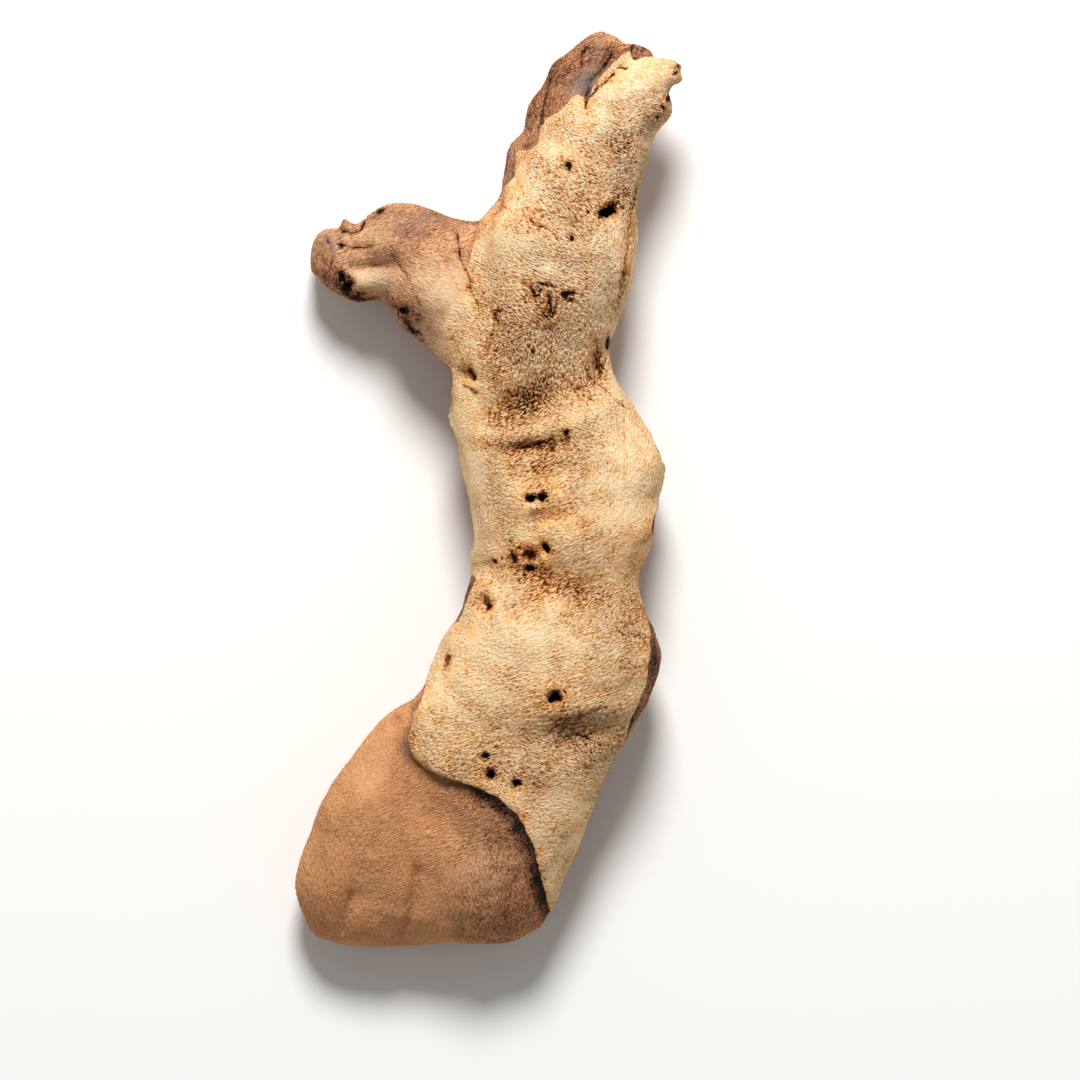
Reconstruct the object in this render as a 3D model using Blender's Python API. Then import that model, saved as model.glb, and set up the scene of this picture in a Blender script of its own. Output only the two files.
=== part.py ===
"""Mopani wood: one weathered piece of a mopani stem, lying on its back.

A pale, sand-blasted skin of sapwood covers the front of a dark heartwood core. The stem forks at the
top into a broken arm and a short left branch that ends in a burl, and its foot flares to the left.

The frame has +X to the right and +Y towards the broken arm, as the piece is looked down on, +Z up,
and its origin under the middle of the piece, on the surface that it lies on. All sizes are in
millimetres until the mesh is made, which is in metres.
"""

import math
from typing import NamedTuple

import bmesh
import bpy
import numpy as np
from mathutils import Vector, noise

MM = 0.001

LENGTH = 257.0
WIDTH = 108.4

RING_POINTS = 72
RING_SPACING = 1.2
ROUNDNESS = 2.35
WIDEST_AT = 0.44

BLANK_VOXEL = 1.0
CARVED_VOXEL = 0.8
TRIANGLES = 11400

SAPWOOD_STEP = 1.7
STEP_SLOPE = 0.8


class Section(NamedTuple):
    """One cross-section of a limb: its place, its two side edges, its underside and its top."""

    at: float
    low: float
    high: float
    back: float
    front: float


# The stem, from its hidden root end up to the broken tip of its sapwood. Places are along Y.
STEM = (
    Section(-127.8, -8.0, 6.0, 8.0, 21.0),
    Section(-125.0, -14.5, 12.0, 4.5, 26.0),
    Section(-119.0, -18.5, 17.0, 3.0, 31.0),
    Section(-111.0, -20.5, 20.8, 2.5, 35.0),
    Section(-101.5, -21.5, 25.0, 2.5, 38.0),
    Section(-92.0, -22.0, 28.7, 3.0, 40.5),
    Section(-83.5, -22.5, 32.0, 3.5, 42.0),
    Section(-76.5, -23.5, 35.0, 3.5, 43.0),
    Section(-70.5, -23.5, 39.2, 3.5, 44.0),
    Section(-65.0, -23.5, 42.4, 3.5, 45.0),
    Section(-59.5, -21.5, 45.2, 3.5, 46.0),
    Section(-54.0, -17.5, 47.7, 3.5, 46.5),
    Section(-49.5, -15.0, 49.2, 3.5, 47.0),
    Section(-45.5, -13.0, 49.7, 3.0, 47.0),
    Section(-41.0, -11.0, 48.3, 3.0, 47.0),
    Section(-38.5, -9.0, 46.6, 3.0, 46.8),
    Section(-34.0, -7.2, 43.8, 3.0, 46.3),
    Section(-29.0, -6.3, 42.4, 2.5, 46.0),
    Section(-24.5, -4.0, 41.8, 2.5, 46.0),
    Section(-22.0, -2.2, 41.9, 2.5, 46.0),
    Section(-19.0, -4.0, 43.6, 2.0, 46.3),
    Section(-15.5, -2.5, 45.3, 2.0, 46.8),
    Section(-9.0, -3.0, 47.8, 1.5, 47.5),
    Section(-3.5, -3.6, 47.2, 1.5, 48.0),
    Section(3.5, -5.4, 49.2, 1.5, 48.0),
    Section(9.0, -6.7, 49.6, 2.0, 47.5),
    Section(13.0, -7.6, 47.6, 2.5, 47.0),
    Section(19.0, -9.3, 43.6, 3.0, 46.5),
    Section(24.5, -9.4, 40.4, 3.5, 46.3),
    Section(28.5, -9.6, 37.0, 4.0, 46.3),
    Section(33.0, -9.6, 35.0, 4.5, 46.6),
    Section(37.0, -10.2, 34.2, 5.0, 47.0),
    Section(41.0, -9.8, 34.2, 5.5, 47.5),
    Section(45.5, -8.0, 35.6, 6.0, 48.0),
    Section(51.0, -5.5, 37.5, 6.5, 48.5),
    Section(56.5, -4.0, 39.6, 7.0, 49.0),
    Section(63.5, -3.5, 41.0, 7.5, 49.5),
    Section(70.5, -2.5, 41.5, 8.5, 49.5),
    Section(76.0, -0.5, 41.8, 9.5, 48.8),
    Section(80.5, 3.5, 41.3, 10.5, 48.0),
    Section(84.0, 4.5, 41.4, 11.5, 47.0),
    Section(87.5, 6.5, 42.6, 12.5, 46.0),
    Section(91.5, 8.0, 43.6, 13.5, 45.0),
    Section(94.5, 11.0, 44.1, 14.5, 44.2),
    Section(97.0, 13.5, 45.0, 15.5, 43.5),
    Section(100.0, 15.0, 46.2, 16.0, 42.8),
    Section(103.0, 16.5, 48.2, 17.0, 42.2),
    Section(105.5, 19.0, 50.8, 17.5, 41.7),
    Section(107.5, 21.5, 51.8, 18.0, 41.3),
    Section(109.5, 24.0, 50.7, 18.5, 41.0),
    Section(111.5, 28.5, 50.0, 19.0, 40.5),
    Section(113.0, 30.0, 51.0, 19.5, 40.0),
    Section(114.5, 31.0, 54.2, 20.0, 39.0),
    Section(116.5, 33.5, 53.2, 20.5, 38.0),
    Section(118.0, 37.0, 54.3, 21.0, 36.5),
    Section(119.0, 40.0, 54.2, 22.0, 35.0),
    Section(120.2, 45.0, 51.5, 24.0, 31.0),
)

# The heartwood behind the broken arm, which stands out to its left and past its end. Along Y.
ARM_HEART = (
    Section(68.0, 8.0, 30.0, 14.0, 30.0),
    Section(78.0, 5.0, 33.0, 11.0, 34.0),
    Section(84.0, 3.6, 35.0, 10.0, 34.5),
    Section(87.5, 4.1, 36.0, 9.5, 34.5),
    Section(90.5, 4.2, 37.0, 9.5, 34.5),
    Section(92.5, 5.3, 37.5, 9.5, 34.5),
    Section(94.5, 4.8, 38.0, 9.5, 34.5),
    Section(96.5, 5.6, 38.5, 9.5, 34.5),
    Section(99.5, 7.7, 39.0, 9.5, 35.0),
    Section(101.0, 10.0, 39.5, 9.5, 35.0),
    Section(104.0, 10.3, 40.5, 9.5, 35.5),
    Section(108.0, 11.0, 42.0, 9.5, 35.5),
    Section(110.0, 12.1, 43.0, 9.5, 35.5),
    Section(112.0, 13.6, 44.0, 10.0, 35.0),
    Section(114.0, 15.8, 45.0, 10.5, 34.5),
    Section(117.0, 16.9, 46.6, 11.0, 33.5),
    Section(119.5, 17.4, 47.6, 11.5, 32.5),
    Section(121.5, 18.9, 48.0, 12.0, 31.0),
    Section(123.0, 20.6, 47.4, 12.5, 30.5),
    Section(125.0, 23.6, 46.6, 13.0, 29.5),
    Section(126.2, 25.0, 42.5, 14.0, 28.5),
    Section(127.5, 26.6, 37.0, 14.5, 27.5),
    Section(128.8, 28.4, 35.2, 16.0, 26.5),
    Section(129.7, 29.8, 33.2, 18.0, 24.0),
)

# The left branch, from the face of its burl into the stem. Places are along X.
BRANCH = (
    Section(-49.8, 62.5, 68.5, 9.0, 17.0),
    Section(-48.5, 60.2, 72.2, 6.0, 20.0),
    Section(-46.8, 59.0, 74.2, 4.0, 22.5),
    Section(-44.5, 57.0, 75.4, 2.0, 24.5),
    Section(-42.0, 55.7, 75.4, 1.0, 26.0),
    Section(-39.5, 54.4, 74.6, 0.5, 27.0),
    Section(-37.0, 53.0, 75.6, 0.5, 28.0),
    Section(-34.2, 53.1, 77.6, 1.0, 29.0),
    Section(-31.0, 53.7, 79.6, 1.5, 31.0),
    Section(-27.2, 52.0, 81.3, 2.5, 34.0),
    Section(-24.4, 46.4, 82.0, 3.5, 36.0),
    Section(-21.0, 44.0, 81.6, 4.5, 37.5),
    Section(-17.4, 41.2, 80.6, 5.5, 38.5),
    Section(-13.2, 37.6, 78.8, 6.5, 39.5),
    Section(-9.0, 34.3, 77.0, 7.0, 40.5),
    Section(-4.8, 34.0, 76.0, 8.0, 41.0),
    Section(-1.5, 36.0, 75.6, 10.0, 41.0),
    Section(4.0, 40.0, 69.0, 14.0, 40.0),
)

# The heartwood foot that flares to the left of the root end. Places are along Y.
FOOT = (
    Section(-128.6, -39.0, -20.0, 8.0, 14.0),
    Section(-127.0, -45.5, -9.0, 5.0, 19.0),
    Section(-124.0, -49.8, 2.0, 3.0, 23.0),
    Section(-119.8, -51.9, 9.0, 1.5, 26.5),
    Section(-115.6, -53.2, 12.0, 1.0, 29.0),
    Section(-111.4, -54.0, 14.0, 0.5, 31.0),
    Section(-107.2, -53.3, 15.0, 0.5, 32.5),
    Section(-101.6, -52.0, 16.0, 1.0, 34.0),
    Section(-96.0, -49.6, 17.0, 1.5, 35.0),
    Section(-90.0, -48.0, 17.0, 2.0, 35.8),
    Section(-83.7, -45.0, 16.0, 3.0, 36.3),
    Section(-76.5, -39.8, 13.0, 4.0, 36.3),
    Section(-70.8, -35.4, 9.0, 5.0, 35.5),
    Section(-65.2, -30.7, 5.0, 6.5, 34.0),
    Section(-62.0, -27.5, 2.0, 8.0, 32.0),
    Section(-58.5, -22.0, 0.0, 12.0, 27.0),
)

# The stub that stands off the burl's upper edge. Places are along Y.
STUB = (
    Section(70.0, -38.5, -33.5, 16.0, 26.0),
    Section(73.0, -39.9, -34.5, 17.0, 26.5),
    Section(75.5, -41.0, -37.2, 18.5, 26.0),
    Section(78.2, -41.0, -39.0, 21.0, 24.0),
)


class Swell(NamedTuple):
    """A rounded rise or hollow of one face: its middle, its half sizes, its turn and its height."""

    x: float
    y: float
    half_x: float
    half_y: float
    turn_deg: float
    height: float


FRONT_SWELLS = (
    Swell(8.0, 73.0, 13.0, 8.0, 0, 2.0),
    Swell(30.0, 64.0, 9.0, 9.0, 0, 1.2),
    Swell(34.5, 84.0, 8.0, 3.4, 20, -1.2),
    Swell(35.0, 95.5, 9.0, 3.0, 30, -1.4),
    Swell(27.0, 98.0, 7.0, 4.5, 60, 1.0),
    Swell(41.5, 113.0, 7.0, 4.5, 35, 1.2),
    Swell(18.5, 52.0, 7.0, 6.5, 0, 1.6),
    Swell(2.0, 44.0, 8.0, 6.0, 0, -1.2),
    Swell(31.5, 35.0, 2.4, 7.5, -12, -2.4),
    Swell(9.5, 24.0, 9.5, 4.6, 22, -4.2),
    Swell(0.0, 22.0, 3.0, 6.0, -15, -1.0),
    Swell(28.0, 21.0, 6.0, 6.0, 20, 1.4),
    Swell(20.0, 18.4, 12.0, 2.6, 14, 1.8),
    Swell(4.0, 15.6, 8.0, 2.0, -4, 0.9),
    Swell(14.0, 11.6, 8.0, 2.2, 8, -2.6),
    Swell(19.0, 5.6, 8.0, 2.0, 5, -1.2),
    Swell(13.7, -3.0, 6.5, 4.0, 0, 1.6),
    Swell(19.0, -6.8, 6.5, 1.6, 15, -1.2),
    Swell(26.0, -13.0, 14.0, 6.0, 0, 1.2),
    Swell(15.0, -24.5, 15.0, 5.5, -10, -3.2),
    Swell(34.0, -31.0, 12.0, 4.0, -15, -1.5),
    Swell(5.0, -38.0, 13.0, 6.0, 10, 1.0),
    Swell(9.0, -48.0, 20.0, 11.0, 0, 1.4),
    Swell(33.0, -50.0, 8.0, 12.0, -10, 1.0),
    Swell(18.5, -58.0, 6.0, 4.6, 0, 1.3),
    Swell(25.0, -61.2, 11.0, 2.0, 12, 1.2),
    Swell(25.0, -67.5, 14.0, 4.2, 10, -3.2),
    Swell(8.0, -68.0, 5.0, 6.0, 20, -1.2),
    Swell(-15.5, -66.0, 3.2, 9.0, 10, 1.2),
    Swell(22.0, -78.0, 9.0, 5.0, -10, 1.0),
    Swell(-5.0, 31.5, 3.6, 2.0, -20, -2.8),
    Swell(-4.0, 29.4, 3.4, 1.2, -25, 1.0),
    Swell(-3.8, 27.2, 3.0, 1.3, -35, -1.8),
    Swell(-26.0, 68.0, 11.0, 3.6, -65, 1.8),
    Swell(-30.5, 63.0, 8.0, 2.6, 12, -2.0),
    Swell(-33.0, 57.5, 7.0, 3.2, 0, 1.4),
    Swell(-25.0, 60.0, 4.0, 7.0, -30, -1.2),
    Swell(-43.0, 69.5, 5.0, 3.0, 15, 1.2),
    Swell(-45.0, 61.0, 4.0, 4.5, 0, 1.4),
    Swell(-17.5, 45.5, 8.0, 4.0, -35, -2.4),
    Swell(-30.0, -84.0, 9.0, 14.0, -35, 1.4),
    Swell(-11.0, -92.0, 22.0, 5.0, -35, -1.6),
    Swell(-38.0, -105.0, 5.0, 12.0, -15, 1.2),
)

# The back is guessed: long hollows where the heartwood has weathered out between the ribs of the grain.
BACK_SWELLS = (
    Swell(22.0, 46.0, 7.0, 24.0, -8, 6.0),
    Swell(13.0, -38.0, 7.5, 24.0, 10, 7.0),
    Swell(33.0, -48.0, 6.0, 17.0, 6, 5.0),
    Swell(6.0, -86.0, 6.0, 16.0, 14, 5.0),
    Swell(-18.0, 58.0, 11.0, 4.5, -10, 5.0),
    Swell(28.0, 100.0, 5.5, 20.0, -24, 4.5),
    Swell(-42.0, -92.0, 5.0, 12.0, -30, 3.0),
    Swell(8.0, 14.0, 5.0, 16.0, 0, 4.0),
)


class Hole(NamedTuple):
    """A knot hole or pit in the front: its mouth's middle and radii, its turn, its depth and the
    height of the lip round it."""

    x: float
    y: float
    radius_x: float
    radius_y: float
    turn_deg: float
    depth: float
    lip: float


HOLES = (
    Hole(34.0, 77.4, 2.3, 1.8, 35, 8.0, 0.3),
    Hole(31.6, 76.6, 1.2, 0.9, 10, 2.5, 0.0),
    Hole(22.7, 90.0, 1.4, 1.1, -20, 3.5, 0.5),
    Hole(23.6, 69.8, 0.9, 1.2, 0, 2.0, 0.0),
    Hole(12.0, -2.5, 1.4, 1.3, 0, 5.5, 0.9),
    Hole(15.4, -2.2, 1.5, 1.4, 0, 5.5, 0.9),
    Hole(16.5, -16.0, 0.9, 2.1, 30, 5.0, 0.0),
    Hole(12.2, -18.4, 2.2, 1.1, -10, 2.6, 0.0),
    Hole(11.9, -21.7, 1.9, 1.2, 0, 5.0, 0.0),
    Hole(7.2, -20.0, 1.0, 1.8, 10, 2.8, 0.0),
    Hole(2.2, -20.3, 0.8, 1.1, 25, 3.0, 0.0),
    Hole(0.0, -31.8, 1.6, 2.4, 15, 2.4, 0.5),
    Hole(-11.3, -47.2, 1.1, 1.8, -10, 2.0, 0.3),
    Hole(19.2, -57.6, 1.9, 1.6, 10, 8.0, 0.7),
    Hole(-0.3, -74.2, 1.2, 1.0, 0, 3.0, 0.4),
    Hole(1.3, -79.4, 1.3, 1.6, 0, 4.0, 0.5),
    Hole(8.3, -82.4, 1.4, 1.2, 20, 4.0, 0.4),
    Hole(22.5, 15.8, 0.9, 1.0, 0, 2.0, 0.3),
    Hole(-23.5, 50.3, 1.5, 1.1, -20, 3.0, 0.3),
    Hole(-21.5, 45.0, 1.8, 1.1, -30, 3.0, 0.3),
    Hole(-40.6, 60.0, 1.0, 1.5, 10, 3.0, 0.3),
    Hole(-38.8, 57.6, 1.4, 1.6, 20, 4.0, 0.4),
    Hole(-38.8, 54.8, 1.6, 1.0, -10, 3.0, 0.4),
    Hole(-30.4, 77.8, 1.6, 1.1, 25, 2.2, 0.2),
)

class Groove(NamedTuple):
    """A crack, crease or fold of the front: the points it runs through, its half width and its depth.

    A groove with a depth below zero is a ridge.
    """

    through: tuple
    half_width: float
    depth: float


GROOVES = (
    # The seam between the branch and the stem.
    Groove(((-8.4, 72.2), (-7.8, 68.6), (-6.2, 61.6), (-4.5, 56.0), (-2.5, 51.8)), 0.9, 1.3),
    # The torn sliver of sapwood beside the broken arm, the splits along it and the heartwood's checks.
    Groove(((30.6, 113.0), (35.0, 117.6), (38.4, 121.2)), 1.5, -1.1),
    Groove(((35.0, 122.2), (32.4, 117.8), (28.8, 113.8), (27.4, 109.6), (27.6, 106.0)), 0.9, 2.4),
    Groove(((28.8, 109.4), (30.5, 112.0), (33.6, 114.2), (36.7, 117.6), (39.2, 117.6), (41.0, 119.4)), 0.8, 1.8),
    Groove(((28.0, 124.2), (25.9, 120.6), (26.6, 118.4)), 0.8, 1.2),
    Groove(((17.8, 114.8), (16.5, 110.4), (15.6, 105.2), (15.1, 101.8)), 0.8, 1.2),
    Groove(((38.6, 125.4), (37.2, 121.6)), 0.8, 1.2),
    # The folds that gather in the waist on the right.
    Groove(((30.2, 38.0), (31.0, 34.0), (32.0, 31.6)), 1.5, 1.8),
    Groove(((26.9, 32.2), (33.0, 26.6), (37.8, 23.0)), 0.8, 1.3),
    Groove(((24.6, 28.6), (31.6, 25.2)), 0.8, 0.9),
    Groove(((38.1, 22.4), (37.5, 16.8), (38.1, 11.2)), 0.7, 0.9),
    # Creases and folds across the bulge above the waist.
    Groove(((12.6, 75.0), (14.8, 72.8), (19.0, 69.2)), 0.8, 0.9),
    Groove(((12.0, 56.0), (13.2, 53.8)), 0.9, 1.6),
    Groove(((14.3, 56.6), (15.0, 53.0), (17.6, 49.2), (20.6, 51.0), (20.8, 55.6), (17.8, 57.8)), 0.9, 1.3),
    Groove(((17.6, 53.4), (18.2, 50.8)), 0.9, 2.0),
    # The ring round the paired holes.
    Groove(((9.4, -2.4), (11.4, -6.0), (15.8, -6.2), (18.0, -2.6), (15.6, 1.2), (11.6, 1.2)), 0.7, 0.8),
    # Lines of the burl at the end of the left branch.
    Groove(((-42.6, 68.6), (-39.8, 68.3), (-34.2, 67.5), (-32.2, 67.8)), 0.8, 1.2),
    Groove(((-40.9, 72.5), (-37.8, 71.7), (-35.6, 72.8), (-34.7, 75.0)), 0.8, 1.3),
    Groove(((-26.6, 65.8), (-23.8, 61.6), (-21.6, 57.4), (-18.8, 51.8)), 0.8, 0.9),
    # Drying checks that run in from the root end.
    Groove(((-24.0, -128.0), (-21.0, -119.0), (-19.0, -106.0)), 1.3, 2.6),
    Groove(((-8.0, -129.0), (-7.0, -121.0)), 1.8, 3.4),
    Groove(((5.0, -128.0), (6.0, -118.0), (9.0, -108.0)), 1.0, 2.0),
    Groove(((-41.0, -125.0), (-38.0, -114.0)), 1.0, 1.8),
    # The gutter of heartwood that follows the sapwood's lower edge.
    Groove(((-17.6, -54.0), (-21.2, -61.0), (-24.2, -67.2), (-23.2, -72.6), (-18.4, -76.6)), 1.6, 1.6),
    Groove(((-18.4, -76.6), (-13.2, -79.8), (-6.4, -82.0), (0.0, -84.6), (6.0, -91.0)), 1.4, 1.2),
)

# The outline of the sapwood as it is looked down on. Where it wraps round a side it runs past it.
SAPWOOD_OUTLINE = (
    (58.0, 119.0),
    (47.5, 121.2),
    (43.5, 120.6),
    (40.8, 120.4),
    (38.0, 122.2),
    (35.2, 117.6),
    (31.4, 113.6),
    (28.6, 111.0),
    (26.6, 109.8),
    (23.5, 109.6),
    (20.0, 105.6),
    (16.2, 102.6),
    (14.4, 97.5),
    (13.2, 94.8),
    (9.0, 93.3),
    (7.6, 88.0),
    (4.4, 83.6),
    (-3.0, 78.5),
    (-1.6, 72.0),
    (-4.4, 64.0),
    (-10.5, 56.0),
    (-13.0, 45.0),
    (-11.5, 36.0),
    (-16.0, 30.0),
    (-16.0, -38.0),
    (-24.0, -50.0),
    (-18.0, -55.5),
    (-20.5, -60.5),
    (-22.8, -64.5),
    (-22.0, -72.0),
    (-19.0, -76.5),
    (-11.0, -81.0),
    (-2.0, -83.5),
    (3.5, -88.0),
    (9.0, -97.0),
    (12.0, -108.0),
    (13.5, -120.0),
    (15.0, -136.0),
    (60.0, -136.0),
    (60.0, -110.0),
)


class Seam(NamedTuple):
    """Where the sapwood's lower edge runs on the sides at one place along Y, as shares of the thickness.

    The stem is widest at WIDEST_AT, so a share above that shows a rim of heartwood beside the sapwood.
    """

    at: float
    left: float
    right: float


SEAM = (
    Seam(-128.0, 0.90, 0.40),
    Seam(-84.0, 0.80, 0.62),
    Seam(-64.0, 0.74, 0.66),
    Seam(-58.0, 0.68, 0.66),
    Seam(-52.0, 0.58, 0.68),
    Seam(-42.0, 0.40, 0.66),
    Seam(-37.0, 0.42, 0.34),
    Seam(-32.0, 0.62, 0.34),
    Seam(-27.0, 0.60, 0.34),
    Seam(-23.0, 0.36, 0.34),
    Seam(-14.0, 0.34, 0.36),
    Seam(-12.0, 0.34, 0.60),
    Seam(-6.5, 0.34, 0.60),
    Seam(-4.0, 0.34, 0.34),
    Seam(6.0, 0.34, 0.34),
    Seam(8.5, 0.34, 0.62),
    Seam(14.0, 0.60, 0.62),
    Seam(17.0, 0.58, 0.34),
    Seam(22.0, 0.36, 0.34),
    Seam(25.0, 0.60, 0.34),
    Seam(33.0, 0.62, 0.34),
    Seam(38.0, 0.36, 0.34),
    Seam(41.0, 0.36, 0.62),
    Seam(43.0, 0.36, 0.34),
    Seam(70.0, 0.36, 0.36),
    Seam(90.0, 0.36, 0.50),
    Seam(98.0, 0.36, 0.34),
    Seam(121.0, 0.20, 0.20),
)
SEAM_WANDER = 1.6

# The step at the sapwood's edge dies out round this place, where the branch grows out of the stem.
BRANCH_ROOT = Swell(-9.0, 54.0, 13.0, 26.0, 0, 1.0)


class FootPoint(NamedTuple):
    """A low point of the back that the piece rests on: its place and its radius."""

    x: float
    y: float
    radius: float


REST_POINTS = (
    FootPoint(-26.0, -108.0, 20.0),
    FootPoint(-38.0, 62.0, 15.0),
    FootPoint(33.0, -4.0, 20.0),
)
REST_DEPTH = 0.6


def smooth_step(low, high, value):
    """0 below low, 1 above high, and a smooth rise between them."""
    share = np.clip((value - low) / (high - low), 0.0, 1.0)
    return share * share * (3.0 - 2.0 * share)


def through(sections):
    """Reads a limb's sections every RING_SPACING from a smooth curve through them."""
    known = np.array(sections)
    at = known[:, 0]
    count = max(2, round((at[-1] - at[0]) / RING_SPACING))
    wanted = np.linspace(at[0], at[-1], count)
    index = np.clip(np.searchsorted(at, wanted) - 1, 0, len(at) - 2)
    gap = np.diff(at)[index]
    t = ((wanted - at[index]) / gap)[:, None]
    slopes = np.gradient(known, at, axis=0)
    start, end = known[index], known[index + 1]
    start_slope = slopes[index] * gap[:, None]
    end_slope = slopes[index + 1] * gap[:, None]
    curve = (
        (2 * t**3 - 3 * t**2 + 1) * start
        + (t**3 - 2 * t**2 + t) * start_slope
        + (3 * t**2 - 2 * t**3) * end
        + (t**3 - t**2) * end_slope
    )
    return [Section(*row) for row in curve]


def ring(section, runs_along_x):
    """The points of one cross-section, a rounded outline that is widest a little below its middle."""
    angles = np.linspace(0.0, 2.0 * math.pi, RING_POINTS, endpoint=False)
    side = np.sign(np.cos(angles)) * np.abs(np.cos(angles)) ** (2.0 / ROUNDNESS)
    rise = np.sign(np.sin(angles)) * np.abs(np.sin(angles)) ** (2.0 / ROUNDNESS)
    across = (section.low + section.high) / 2 + side * (section.high - section.low) / 2
    widest = section.back + WIDEST_AT * (section.front - section.back)
    above = section.front - widest
    below = widest - section.back
    height = widest + np.where(rise > 0, rise * above, rise * below)
    along = np.full(RING_POINTS, section.at)
    columns = (along, across, height) if runs_along_x else (across, along, height)
    return np.stack(columns, axis=1)


def loft(mesh, sections, runs_along_x=False):
    """Adds a closed limb through its sections to a bmesh."""
    rings = []
    for section in through(sections):
        rings.append([mesh.verts.new(p) for p in ring(section, runs_along_x)])
    faces = [mesh.faces.new(rings[0]), mesh.faces.new(rings[-1])]
    for first, second in zip(rings, rings[1:]):
        for i in range(RING_POINTS):
            j = (i + 1) % RING_POINTS
            faces.append(mesh.faces.new((first[i], first[j], second[j], second[i])))
    bmesh.ops.recalc_face_normals(mesh, faces=faces)


def remeshed(mesh, voxel):
    """One closed skin over all the bodies in a mesh, in even cells of the voxel's size."""
    carrier = bpy.data.objects.new("carrier", mesh)
    bpy.context.scene.collection.objects.link(carrier)
    remesh = carrier.modifiers.new("skin", "REMESH")
    remesh.mode = "VOXEL"
    remesh.voxel_size = voxel
    graph = bpy.context.evaluated_depsgraph_get()
    made = bpy.data.meshes.new_from_object(carrier.evaluated_get(graph))
    bpy.data.objects.remove(carrier)
    return made


def points_of(mesh):
    """A mesh's vertices and their normals, as two arrays."""
    points = np.empty(len(mesh.vertices) * 3, np.float32)
    mesh.vertices.foreach_get("co", points)
    normals = np.empty(len(mesh.vertices) * 3, np.float32)
    mesh.vertices.foreach_get("normal", normals)
    return points.reshape(-1, 3).astype(float), normals.reshape(-1, 3).astype(float)


def set_points(mesh, points):
    """Moves a mesh's vertices to new places."""
    mesh.vertices.foreach_set("co", points.astype(np.float32).ravel())
    mesh.update()


def relaxed(mesh, points, rounds, share=0.5):
    """Draws each vertex towards the middle of its neighbours, a few times over."""
    ends = np.empty(len(mesh.edges) * 2, np.int32)
    mesh.edges.foreach_get("vertices", ends)
    first, second = ends.reshape(-1, 2).T
    count = np.bincount(ends, minlength=len(points))[:, None]
    for _ in range(rounds):
        total = np.zeros_like(points)
        np.add.at(total, first, points[second])
        np.add.at(total, second, points[first])
        points = points + share * (total / count - points)
    return points


def noise_at(points, stretch, seed):
    """Smooth noise from -1 to 1 at each point, with features of the stretch's size on each axis."""
    scaled = points / np.array(stretch) + seed
    return np.array([noise.noise(Vector(p)) for p in scaled])


def footprint(points, shape, half_x, half_y):
    """How far each point lies from a feature's middle, in its own half sizes, as looked down on."""
    turn = math.radians(shape.turn_deg)
    dx = points[:, 0] - shape.x
    dy = points[:, 1] - shape.y
    along = (dx * math.cos(turn) + dy * math.sin(turn)) / half_x
    across = (dy * math.cos(turn) - dx * math.sin(turn)) / half_y
    return np.hypot(along, across)


def line_distance(points, corners):
    """Distance from each point to a bent line, as looked down on."""
    nearest = np.full(len(points), np.inf)
    place = points[:, :2]
    for start, end in zip(np.array(corners), np.array(corners)[1:]):
        run = end - start
        share = np.clip((place - start) @ run / (run @ run), 0.0, 1.0)
        gap = place - start - share[:, None] * run
        nearest = np.minimum(nearest, np.hypot(gap[:, 0], gap[:, 1]))
    return nearest


def outline_distance(points, outline):
    """Distance from each point to a closed outline in XY, positive inside it."""
    closed = outline + outline[:1]
    x, y = points[:, 0], points[:, 1]
    inside = np.zeros(len(points), bool)
    for (start_x, start_y), (end_x, end_y) in zip(closed, closed[1:]):
        if start_y != end_y:
            crosses = (start_y > y) != (end_y > y)
            inside ^= crosses & (x < start_x + (y - start_y) * (end_x - start_x) / (end_y - start_y))
    nearest = line_distance(points, closed)
    return np.where(inside, nearest, -nearest)


def seam_height(points):
    """Height of the sapwood's lower edge on the sides, which wanders a little."""
    stem = np.array(STEM)
    seam = np.array(SEAM)
    y = points[:, 1]
    low, high, back, front = (np.interp(y, stem[:, 0], column) for column in stem[:, 1:].T)
    across = smooth_step(0.3, 0.7, (points[:, 0] - low) / (high - low))
    left = np.interp(y, seam[:, 0], seam[:, 1])
    right = np.interp(y, seam[:, 0], seam[:, 2])
    level = back + (left + across * (right - left)) * (front - back)
    return level + SEAM_WANDER * noise_at(points, (9.0, 9.0, 60.0), 3.7)


def sapwood_depth(points):
    """How far each point of the skin lies inside the sapwood, in millimetres; outside is negative."""
    wander = 0.8 * noise_at(points, (4.0, 4.0, 4.0), 11.3)
    return np.minimum(outline_distance(points, SAPWOOD_OUTLINE) + wander, points[:, 2] - seam_height(points))


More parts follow.
